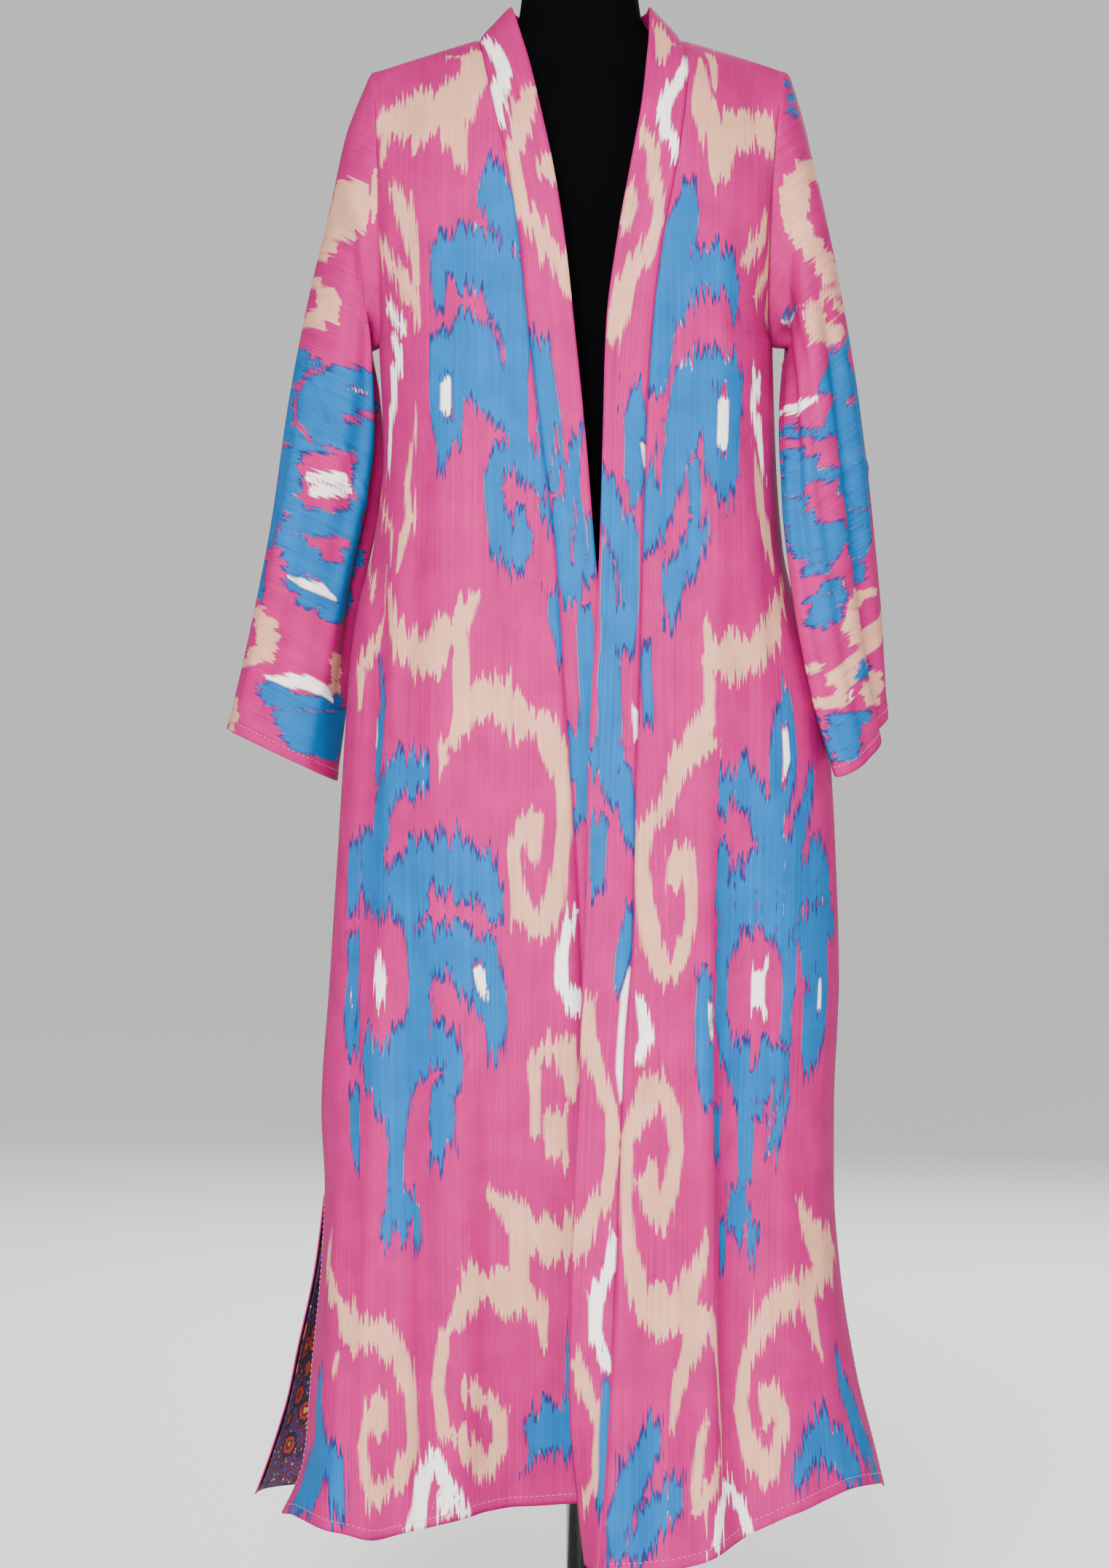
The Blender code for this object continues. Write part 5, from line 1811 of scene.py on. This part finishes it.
def dyed(tree, fields, slopes, amount, bias):
    """Three masks, for blue, beige and white, with ragged ends."""
    shift = add(tree, VECTOR, {"operation": "SCALE"}, _0=slopes, Scale=amount)
    moved = add(tree, VECTOR, {"operation": "ADD"}, _0=fields, _1=shift)
    sharp = add(tree, VECTOR, TIMES_PLUS, _0=moved, _1=(SHARPNESS,) * 3, _2=(0.5 + bias,) * 3)
    low = add(tree, VECTOR, {"operation": "MAXIMUM"}, _0=sharp, _1=(0.0,) * 3)
    high = add(tree, VECTOR, {"operation": "MINIMUM"}, _0=low, _1=(1.0,) * 3)
    return add(tree, "ShaderNodeSeparateXYZ", Vector=high).node.outputs


print("the dyes slip by up to", round(sum(SLIPS.values()) * 1000), "mm along the warp")

# %% [markdown]
# ## Colours of the cloth
# The order follows the dyer's: the bare thread, beige with faint pinkish streaks, blue,
# and last pink on every thread that isn't bound. The bindings are a little looser than
# the blue shapes, so pink creeps over their ends and turns them violet. Single threads
# and slow patches are a little lighter or darker than the rest.

# %% Colours of the cloth
UNDYED = "#E4DFD8"
BLUE = "#04568F"
BEIGE = "#C8967A"
BEIGE_STREAK = "#B97368"
PINK = "#9C0E5C"
VIOLET = "#20265C"
PINK_CREEP = 0.0055
LOOSE_BLUE = 0.35
SAME_SLIP = 0.8
OWN_SLIP = 0.35
THREAD_GRAIN_MM = (1.4, 160)
PATCH_GRAIN_MM = (26, 34)
THREAD_SHADE = 0.30
PATCH_SHADE = 0.24
STREAK_CONTRAST = 1.8
STREAK_SHARE = 0.3


def ikat_colour(tree, u, v):
    """Colour of the cloth, from the dyes' fields on the mesh."""
    fields = add(tree, ATTRIBUTE, {"attribute_name": "motif"}, "Vector")
    slopes = add(tree, ATTRIBUTE, {"attribute_name": "slope"}, "Vector")
    main = slip(tree, u, v, 1)
    other = slip(tree, u, v, 21)
    bound = add(tree, MATH, TIMES_PLUS, _0=main, _1=SAME_SLIP, _2=-PINK_CREEP)
    bound = add(tree, MATH, TIMES_PLUS, _0=other, _1=OWN_SLIP, _2=bound)
    dyes = dyed(tree, fields, slopes, main, LOOSE_BLUE)
    ties = dyed(tree, fields, slopes, bound, 0.0)
    bare = add(tree, MATH, {"operation": "MAXIMUM"}, _0=ties[1], _1=ties[2])
    bare = add(tree, MATH, {"operation": "MAXIMUM"}, _0=ties[0], _1=bare)
    pinked = add(tree, MATH, {"operation": "SUBTRACT"}, _0=1.0, _1=bare)
    thread = stretched(tree, u, v, *THREAD_GRAIN_MM, 41, 2.0)
    patch = stretched(tree, u, v, *PATCH_GRAIN_MM, 43, 2.0)
    streak = add(tree, MATH, TIMES_PLUS, _0=thread, _1=STREAK_CONTRAST, _2=STREAK_SHARE)
    streak = add(tree, "ShaderNodeClamp", Value=streak)
    beige = add(tree, MIX, COLOURS, MIXED, _0=streak, _6=linear(BEIGE), _7=linear(BEIGE_STREAK))
    colour = add(tree, MIX, COLOURS, MIXED, _0=dyes[1], _6=linear(UNDYED), _7=beige)
    colour = add(tree, MIX, COLOURS, MIXED, _0=dyes[0], _6=colour, _7=linear(BLUE))
    over = add(tree, MIX, COLOURS, MIXED, _0=dyes[0], _6=linear(PINK), _7=linear(VIOLET))
    colour = add(tree, MIX, COLOURS, MIXED, _0=pinked, _6=colour, _7=over)
    shade = add(tree, MATH, TIMES_PLUS, _0=thread, _1=THREAD_SHADE, _2=1.0)
    shade = add(tree, MATH, TIMES_PLUS, _0=patch, _1=PATCH_SHADE, _2=shade)
    shaded = {"data_type": "RGBA", "blend_type": "MULTIPLY"}
    return add(tree, MIX, shaded, MIXED, _0=1.0, _6=colour, _7=shade)


print("pink creeps", PINK_CREEP * 1000, "mm over the ends of the blue")

# %% [markdown]
# ## Relief of the cloth
# A bump shows what is too fine for the mesh: the rib and the yarns, the small step where
# a hem is turned under, and the pressed creases. Real ribs of this cloth are about half
# a millimetre apart, so they are drawn coarser here, to show at all.

# %% Relief of the cloth
RIB_MM = (6, 0.9)
YARN_MM = (0.7, 9)
RIB_DEPTH = 0.0001
HEM_STEP = 0.0004
CREASE_DEPTH = 0.0004
CREASE_WIDTH = 0.0026
STEP_SOFT = 0.0006
RELIEF_STRENGTH = 0.8
SOFT = {"interpolation_type": "SMOOTHSTEP"}


def ikat_relief(tree, u, v):
    """Normal of the cloth, from its weave, its hems and its creases."""
    edge = add(tree, ATTRIBUTE, {"attribute_name": "edge"}, "Fac")
    crease = add(tree, ATTRIBUTE, {"attribute_name": "crease"}, "Fac")
    hem = {"_1": HEM_WIDTH - STEP_SOFT, "_2": HEM_WIDTH + STEP_SOFT, "_3": 1.0, "_4": 0.0}
    turned = add(tree, RANGE, SOFT, Value=edge, **hem)
    bent = add(tree, RANGE, SOFT, Value=crease, _1=0.0, _2=CREASE_WIDTH, _3=1.0, _4=0.0)
    height = 0.0
    for shape, metres in (
        (stretched(tree, u, v, *RIB_MM, 47), RIB_DEPTH),
        (stretched(tree, u, v, *YARN_MM, 48), RIB_DEPTH),
        (turned, HEM_STEP),
        (bent, CREASE_DEPTH),
    ):
        height = add(tree, MATH, TIMES_PLUS, _0=shape, _1=metres, _2=height)
    return add(tree, "ShaderNodeBump", Height=height, Distance=1.0, Strength=RELIEF_STRENGTH)


print("ribs are drawn", RIB_MM[1], "mm apart")

# %% [markdown]
# ## The ikat material
# Cotton woven from dyed warp: matt, with the very slight gloss of pressed cotton.

# %% The ikat material
IKAT_GLOSS = 0.12


def ikat_material():
    """Fine warp-faced cotton, tie-dyed in the thread: matt, with a faint rib."""
    material, tree, shader = start_material("ikat_cotton_woven", roughness=0.7)
    uv = add(tree, "ShaderNodeUVMap", {"uv_map": "cloth"})
    u, v, _ = add(tree, "ShaderNodeSeparateXYZ", Vector=uv).node.outputs
    tree.links.new(ikat_colour(tree, u, v), shader.inputs["Base Color"])
    tree.links.new(ikat_relief(tree, u, v), shader.inputs["Normal"])
    shader.inputs["Specular IOR Level"].default_value = IKAT_GLOSS
    return material


ikat = ikat_material()
print("the ikat material has", len(ikat.node_tree.nodes), "nodes")

# %% [markdown]
# ## The lining's print
# The lining is plain printed cotton: small round flowers on a dark red ground, with blue
# scrolls winding between them and yellow specks. Voronoi cells give the flowers their
# places, and noise frills their edges and bends the scrolls.

# %% The lining's print
FLOWER_MM = 25
SCROLL_MM = 15
SPECK_MM = 6
GROUND = "#56080F"
SCROLL = "#1A2C8C"
SPECK = "#C9B23A"
FLOWER = ((0.52, "#110A2C"), (0.36, "#A92B16"), (0.24, "#5E0812"), (0.12, "#C98F34"))
FRILL = 0.22
FRILLS_PER_M = 330.0
SCROLL_TURNS = 9.0
SCROLL_EDGE = (0.33, 0.39)
SPECK_REACH = 0.2
SPECK_COVER = 0.75
INSIDE = {"operation": "LESS_THAN"}


def lining_material():
    """Plain-woven printed cotton: matt, with crisp printed edges."""
    material, tree, shader = start_material("printed_cotton", roughness=0.8)
    uv = add(tree, "ShaderNodeUVMap", {"uv_map": "cloth"})
    flat = add(tree, VECTOR, TIMES, _0=uv, _1=(1.0, 1.0, 0.0))
    bend = add(tree, NOISE, Vector=flat, Scale=1000 / SCROLL_MM, Detail=0.0)
    lines = add(tree, MATH, TIMES, _0=bend, _1=SCROLL_TURNS)
    lines = add(tree, MATH, {"operation": "PINGPONG"}, _0=lines, _1=0.5)
    scroll = add(tree, RANGE, SOFT, Value=lines, _1=SCROLL_EDGE[0], _2=SCROLL_EDGE[1])
    specks = add(tree, "ShaderNodeTexVoronoi", Vector=flat, Scale=1000 / SPECK_MM, Randomness=1.0)
    speck = add(tree, MATH, INSIDE, _0=specks, _1=SPECK_REACH)
    speck = add(tree, MATH, TIMES, _0=speck, _1=SPECK_COVER)
    cells = add(tree, "ShaderNodeTexVoronoi", Vector=flat, Scale=1000 / FLOWER_MM, Randomness=0.8)
    frill = add(tree, NOISE, Vector=flat, Scale=FRILLS_PER_M, Detail=0.0)
    far = add(tree, MATH, TIMES_PLUS, _0=frill, _1=FRILL, _2=cells)
    colour = add(tree, MIX, COLOURS, MIXED, _0=scroll, _6=linear(GROUND), _7=linear(SCROLL))
    colour = add(tree, MIX, COLOURS, MIXED, _0=speck, _6=colour, _7=linear(SPECK))
    for reach, code in FLOWER:
        petal = add(tree, MATH, INSIDE, _0=far, _1=reach + FRILL / 2)
        colour = add(tree, MIX, COLOURS, MIXED, _0=petal, _6=colour, _7=linear(code))
    tree.links.new(colour, shader.inputs["Base Color"])
    return material


printed = lining_material()
print("the lining's material has", len(printed.node_tree.nodes), "nodes")

# %% [markdown]
# ## Finishing the cloth
# Every sheet gets its points, its wall and its two materials: ikat outside and the
# printed lining inside. The band is ikat on both sides.

# %% Finish the cloth
coat = [*fronts.values(), back, *bands.values(), *sleeves.values()]
for sheet in coat:
    inner_wall = BAND_WALL if "band" in sheet.name else CLOTH_WALL
    sheet.item.data.materials.append(ikat)
    sheet.item.data.materials.append(printed)
    sheet.write(lining="band" not in sheet.name, wall=inner_wall)
    if "sleeve" in sheet.name:
        close_ring(sheet)
    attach(sheet.item, "root")
lining.item.data.materials.append(printed)
lining.write(lining=False, wall=LINING_WALL)
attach(lining.item, "root")
print(len(coat) + 1, "sheets of cloth")

# %% [markdown]
# ## Topstitching
# The hems, the slits and the cuffs are turned under and sewn with one row of small
# stitches, 9 mm from the edge. Each stitch is a stretched ball of thread, partly sunk in
# the cloth, so it shows as a small bead.

# %% Stitches
STITCH = 0.0034
STITCH_GAP = 0.0014
THREAD = 0.00028
THREAD_SIDES = 6
THREAD_RINGS = 5
STITCH_RISE = 0.4
SLIT_END_GAP = 0.002


def line_beside(sheet, edge, inset):
    """Points and normals of the line that runs beside an edge."""
    upright = edge in ("low", "high")
    far = sheet.edge(edge)
    points, normals = sheet.points, sheet.normals
    if upright:
        far, points, normals = far.T, points.swapaxes(0, 1), normals.swapaxes(0, 1)
    if edge in ("high", "last"):
        far, points, normals = far[:, ::-1], points[:, ::-1], normals[:, ::-1]
    both = np.concatenate((points, normals), -1)
    line = [[np.interp(inset, d, row[:, k]) for k in range(6)] for d, row in zip(far, both)]
    return np.array(line)


def sew(bm, line):
    """Add a row of stitches along a line of points with normals."""
    steps = np.linalg.norm(np.diff(line[:, :3], axis=0), axis=-1)
    run = np.concatenate(([0], np.cumsum(steps)))
    count = int(run[-1] / (STITCH + STITCH_GAP))
    for middle in (np.arange(count) + 0.5) * run[-1] / count:
        ends = [[np.interp(middle + half, run, row) for row in line.T]
                for half in (-STITCH / 2, STITCH / 2)]
        start, end = np.array(ends)
        forward = (end - start)[:3] / 2
        up = unit(start[3:]) * THREAD
        aside = np.cross(unit(forward), up)
        place = np.eye(4)
        place[:3] = np.stack((aside, up, forward, (start + end)[:3] / 2 + up * STITCH_RISE), -1)
        bmesh.ops.create_uvsphere(
            bm, u_segments=THREAD_SIDES, v_segments=THREAD_RINGS, radius=1, matrix=Matrix(place)
        )


def topstitch(name, lines):
    """One piece that holds all the stitches of the given lines."""
    mesh = bpy.data.meshes.new(name)
    bm = bmesh.new()
    for line in lines:
        sew(bm, line)
    bm.to_mesh(mesh)
    bm.free()
    mesh.shade_smooth()
    return link(name, mesh)


def below(line, top, bottom):
    """The part of a line that lies between two heights."""
    return line[(line[:, 2] < top - SLIT_END_GAP) & (line[:, 2] > bottom)]


print("a stitch is", STITCH * 1000, "mm long")

# %% [markdown]
# The fronts are sewn along the hem and up the slit, the back along its hem and up both
# slits, and the sleeves round the cuff. The sewing thread is a greyed pink that blends
# with the dyed cloth.

# %% Sew the hems
DARK_THREAD = "#B45A8C"
PALE_THREAD = "#D08FB2"
TWIST_PER_M = 2500.0


def thread_material():
    """Mercerised cotton sewing thread: smooth twisted strands with a slight gloss."""
    material, tree, shader = start_material("cotton_sewing_thread", roughness=0.5)
    place = add(tree, "ShaderNodeTexCoord", (), "Object")
    twist = add(tree, NOISE, Vector=place, Scale=TWIST_PER_M)
    dark, pale = linear(DARK_THREAD), linear(PALE_THREAD)
    colour = add(tree, MIX, COLOURS, MIXED, _0=twist, _6=dark, _7=pale)
    tree.links.new(colour, shader.inputs["Base Color"])
    return material


stitching = []
for side, sheet in fronts.items():
    hem = line_beside(sheet, "low", HEM_WIDTH)
    slit = below(line_beside(sheet, "first", HEM_WIDTH), SLIT_TOP[side], hem[0, 2])
    stitching.append(topstitch("topstitch_front_" + word(side), [hem[2:-1], slit]))
slits = [line_beside(back, edge, HEM_WIDTH) for edge in ("first", "last")]
hem = line_beside(back, "low", HEM_WIDTH)
slits = [below(line, SLIT_TOP[side], hem[0, 2]) for line, side in zip(slits, (-1, 1))]
stitching.append(topstitch("topstitch_back", [hem[2:-2], *slits]))
for side, sheet in sleeves.items():
    cuff = line_beside(sheet, "high", HEM_WIDTH)
    stitching.append(topstitch("topstitch_cuff_" + word(side), [cuff]))
thread = thread_material()
for piece in stitching:
    piece.data.materials.append(thread)
    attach(piece, "root")
    print(piece.name, len(piece.data.polygons), "faces")

# %% [markdown]
# ## The dress form
# The form is a padded torso in black jersey, with a short capped neck and no arms. Only
# the chest and the neck show in the opening. Under the shoulder seams it is an oval of a
# share of the coat's depth, and it may be deeper by the neck, where the coat stands open.

# %% Sizes of the form
FORM_SEAT_GAP = 0.0007
FORM_SHOULDER_SHARE = 0.36
FORM_SHOULDER_REACH = 0.178
FORM_SHOULDER_POWER = 2.5
FORM_NECK_DEPTH = 0.050
FORM_NECK_FADE = 0.045
FORM_BOTTOM_Z = 0.800
FORM_CHEST_Z = (0.830, 1.360)
# Half widths and depths of the dress form's torso, shoulders and neck
FORM = chart(
    "z width front back",
    (0.800, 0.150, 0.090, 0.100),
    (0.806, 0.158, 0.098, 0.108),
    (0.830, 0.164, 0.103, 0.113),
    (0.890, 0.166, 0.104, 0.113),
    (0.990, 0.143, 0.095, 0.094),
    (1.080, 0.124, 0.089, 0.082),
    (1.160, 0.136, 0.100, 0.088),
    (1.250, 0.152, 0.112, 0.096),
    (1.330, 0.160, 0.104, 0.098),
    (1.385, 0.164, 0.084, 0.088),
    (1.420, 0.168, 0.066, 0.074),
    (1.438, 0.1700, 0.055, 0.064),
    (1.446, 0.1685, 0.050, 0.058),
)
# Slope of the form's shoulders: half width at each level, and the depths there
FORM_SHOULDERS = chart(
    "reach front back",
    (0.156, 0.0492, 0.0561),
    (0.142, 0.0483, 0.0540),
    (0.124, 0.0472, 0.0512),
    (0.106, 0.0460, 0.0484),
    (0.092, 0.0451, 0.0463),
)
# Neck of the form above its shoulder line
FORM_NECK = chart(
    "z width front back",
    (1.4725, 0.0740, 0.0450, 0.0460),
    (1.4790, 0.0620, 0.0450, 0.0455),
    (1.4920, 0.0545, 0.0455, 0.0455),
    (1.5100, 0.0520, 0.0460, 0.0460),
    (1.5460, 0.0515, 0.0460, 0.0460),
    (1.5530, 0.0480, 0.0430, 0.0430),
    (1.5570, 0.0390, 0.0350, 0.0350),
    (1.5590, 0.0220, 0.0200, 0.0200),
)
print("the form is read at", len(FORM["z"]), "heights below its shoulders")

# %% [markdown]
# The form is a stack of rings, each bridged to the next one. Its shoulders follow the
# coat's own slope, 0.7 mm below the cloth.

# %% The form's torso
FORM_SIDES = 96
FORM_FINE_ROWS = 40


def seat_z(reach):
    """Height of the form's shoulder, just under the coat that rests on it."""
    slope = (NECK_Z - TIP_Z) / (TIP_REACH - NECK_REACH)
    drop = (WALL / 2 + FORM_SEAT_GAP) * math.hypot(1, slope)
    return TIP_Z + (TIP_REACH - np.abs(reach)) * slope - drop


def form_section(z, width, front, back_depth, angles):
    """One level of the form: an oval that stays under the coat's shoulders."""
    reach = width * np.cos(angles)
    sine = np.sin(angles)
    y = np.where(sine < 0, front, back_depth) * sine
    rise = np.clip((z - UNDERARM_Z) / (seat_z(reach) - UNDERARM_Z), 0, 1)
    depths = [along(COAT, "z", name, UNDERARM_Z) for name in ("front_right", "back")]
    share = np.clip(np.abs(reach) / FORM_SHOULDER_REACH, 0, 1) ** FORM_SHOULDER_POWER
    oval = (1 - share) ** (1 / FORM_SHOULDER_POWER)
    room = np.where(sine < 0, *depths) * FORM_SHOULDER_SHARE * oval
    by_neck = 1 - ease((np.abs(reach) - FORM_NECK_FADE) / FORM_NECK_FADE)
    limit = room * np.sqrt(1 - rise**2) + FORM_NECK_DEPTH * by_neck
    return np.stack((reach, np.sign(sine) * np.minimum(np.abs(y), limit), 0 * reach + z), -1)


def finish_mesh(name, bm):
    """A smooth closed piece from a bmesh."""
    bmesh.ops.recalc_face_normals(bm, faces=bm.faces)
    mesh = bpy.data.meshes.new(name)
    bm.to_mesh(mesh)
    bm.free()
    mesh.shade_smooth()
    return link(name, mesh)


def skin(name, levels):
    """Bridge rings of points, capped at both ends, into one smooth solid."""
    bm = bmesh.new()
    below_it = None
    for number, level in enumerate(levels):
        capped = number in (0, len(levels) - 1)
        ring = bmesh.ops.create_circle(bm, cap_ends=capped, segments=len(level), radius=1)["verts"]
        for vert, point in zip(ring, level):
            vert.co = point
        edges = list({edge for vert in ring for edge in vert.link_edges})
        if below_it:
            bmesh.ops.bridge_loops(bm, edges=below_it + edges)
        below_it = edges
    return finish_mesh(name, bm)


angles = np.arange(FORM_SIDES) / FORM_SIDES * 2 * math.pi
levels = []
chest = np.linspace(*FORM_CHEST_Z, FORM_FINE_ROWS)
for z in np.concatenate((FORM["z"][:2], chest, FORM["z"][-4:])):
    sizes = [along(FORM, "z", name, z) for name in ("width", "front", "back")]
    levels.append(form_section(z, *sizes, angles))
for reach, front, back_depth in zip(*FORM_SHOULDERS.values()):
    levels.append(form_section(seat_z(reach), reach, front, back_depth, angles))
for z, width, front, back_depth in zip(*FORM_NECK.values()):
    sine = np.sin(angles)
    y = np.where(sine < 0, front, back_depth) * sine
    levels.append(np.stack((width * np.cos(angles), y, 0 * angles + z), -1))
torso = skin("form_torso", levels)
print("the form has", len(levels), "levels")

# %% [markdown]
# ## The pole and the base
# A straight steel tube goes down from the torso into the socket of a round floor plate.
# The photograph shows neither of them, so both are plain. The plate with its socket is
# one turned outline, spun once round.

# %% The pole and the base
POLE_RADIUS = 0.0125
POLE_SIDES = 48
SOCKET_TOP_Z = 0.062
BASE_SIDES = 128
# Turned outline of the floor plate with its socket
BASE = chart(
    "radius z",
    (0.182, 0.000),
    (0.185, 0.003),
    (0.185, 0.008),
    (0.181, 0.012),
    (0.100, 0.0165),
    (0.036, 0.022),
    (0.026, 0.030),
    (0.022, 0.045),
    (0.022, 0.059),
    (0.019, SOCKET_TOP_Z),
)

low_end = SOCKET_TOP_Z + SEAM_GAP
high_end = FORM_BOTTOM_Z - SEAM_GAP
bm = bmesh.new()
bmesh.ops.create_cone(
    bm, cap_ends=True, segments=POLE_SIDES, radius1=POLE_RADIUS, radius2=POLE_RADIUS,
    depth=high_end - low_end, matrix=Matrix.Translation((0, 0, (low_end + high_end) / 2)),
)
pole = finish_mesh("form_pole_tube", bm)

bm = bmesh.new()
outline = [bm.verts.new((radius, 0, z)) for radius, z in zip(*BASE.values())]
rim = [bm.edges.new(pair) for pair in zip(outline, outline[1:])]
bmesh.ops.spin(
    bm, geom=outline + rim, axis=(0, 0, 1), cent=(0, 0, 0), steps=BASE_SIDES,
    angle=2 * math.pi, use_merge=True,
)
bmesh.ops.holes_fill(bm, edges=bm.edges, sides=BASE_SIDES)
base = finish_mesh("form_floor_plate", bm)
print("the pole is", round(high_end - low_end, 3), "m long")

# %% [markdown]
# ## Materials of the form
# Black knitted jersey, brushed steel and black powder coat. Each is matt or satin, with a
# grain far too fine for the mesh.

# %% Materials of the form
JERSEY = "#030304"
STEEL = "#B9BBBD"
POWDER = "#121214"
JERSEY_GLOSS = 0.03
STEEL_LINES = (900.0, 900.0, 6.0)
STEEL_SMOOTHEST = 0.22
STEEL_ROUGHER_BY = 0.15


def grained(name, code, roughness, grain, depth, strength):
    """A plain coloured material with a fine grain as its relief."""
    material, tree, shader = start_material(name, roughness)
    place = add(tree, "ShaderNodeTexCoord", (), "Object")
    relief = add(tree, NOISE, Vector=place, Scale=grain, Detail=1.0)
    bump = add(tree, "ShaderNodeBump", Height=relief, Distance=depth, Strength=strength)
    tree.links.new(bump, shader.inputs["Normal"])
    shader.inputs["Base Color"].default_value = linear(code)
    return material


def steel_material():
    """Brushed steel tube: even grey, thin lines along its length."""
    material, tree, shader = start_material("brushed_steel", roughness=0.3)
    place = add(tree, "ShaderNodeTexCoord", (), "Object")
    long = add(tree, VECTOR, TIMES, _0=place, _1=STEEL_LINES)
    lines = add(tree, NOISE, Vector=long, Scale=1.0)
    rough = add(tree, MATH, TIMES_PLUS, _0=lines, _1=STEEL_ROUGHER_BY, _2=STEEL_SMOOTHEST)
    tree.links.new(rough, shader.inputs["Roughness"])
    shader.inputs["Base Color"].default_value = linear(STEEL)
    shader.inputs["Metallic"].default_value = 1.0
    return material


jersey = grained(
    "black_jersey_knit", JERSEY, roughness=0.95, grain=900.0, depth=0.0003, strength=0.5
)
knit = jersey.node_tree.nodes["Principled BSDF"]
knit.inputs["Specular IOR Level"].default_value = JERSEY_GLOSS
powder_coat = grained(
    "black_powder_coat", POWDER, roughness=0.42, grain=700.0, depth=0.0002, strength=0.3
)
for piece, material, slot_name, node in (
    (torso, jersey, "form_cloth", "form_body"),
    (pole, steel_material(), "pole_steel", "form_pole"),
    (base, powder_coat, "base_paint", "form_base"),
):
    piece.data.materials.append(material)
    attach(piece, "root")
    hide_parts(node)
print("form, pole and base are in place")

for sheet in coat:
    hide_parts(sheet.name.replace("kaftan_", ""))
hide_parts("back_lining")
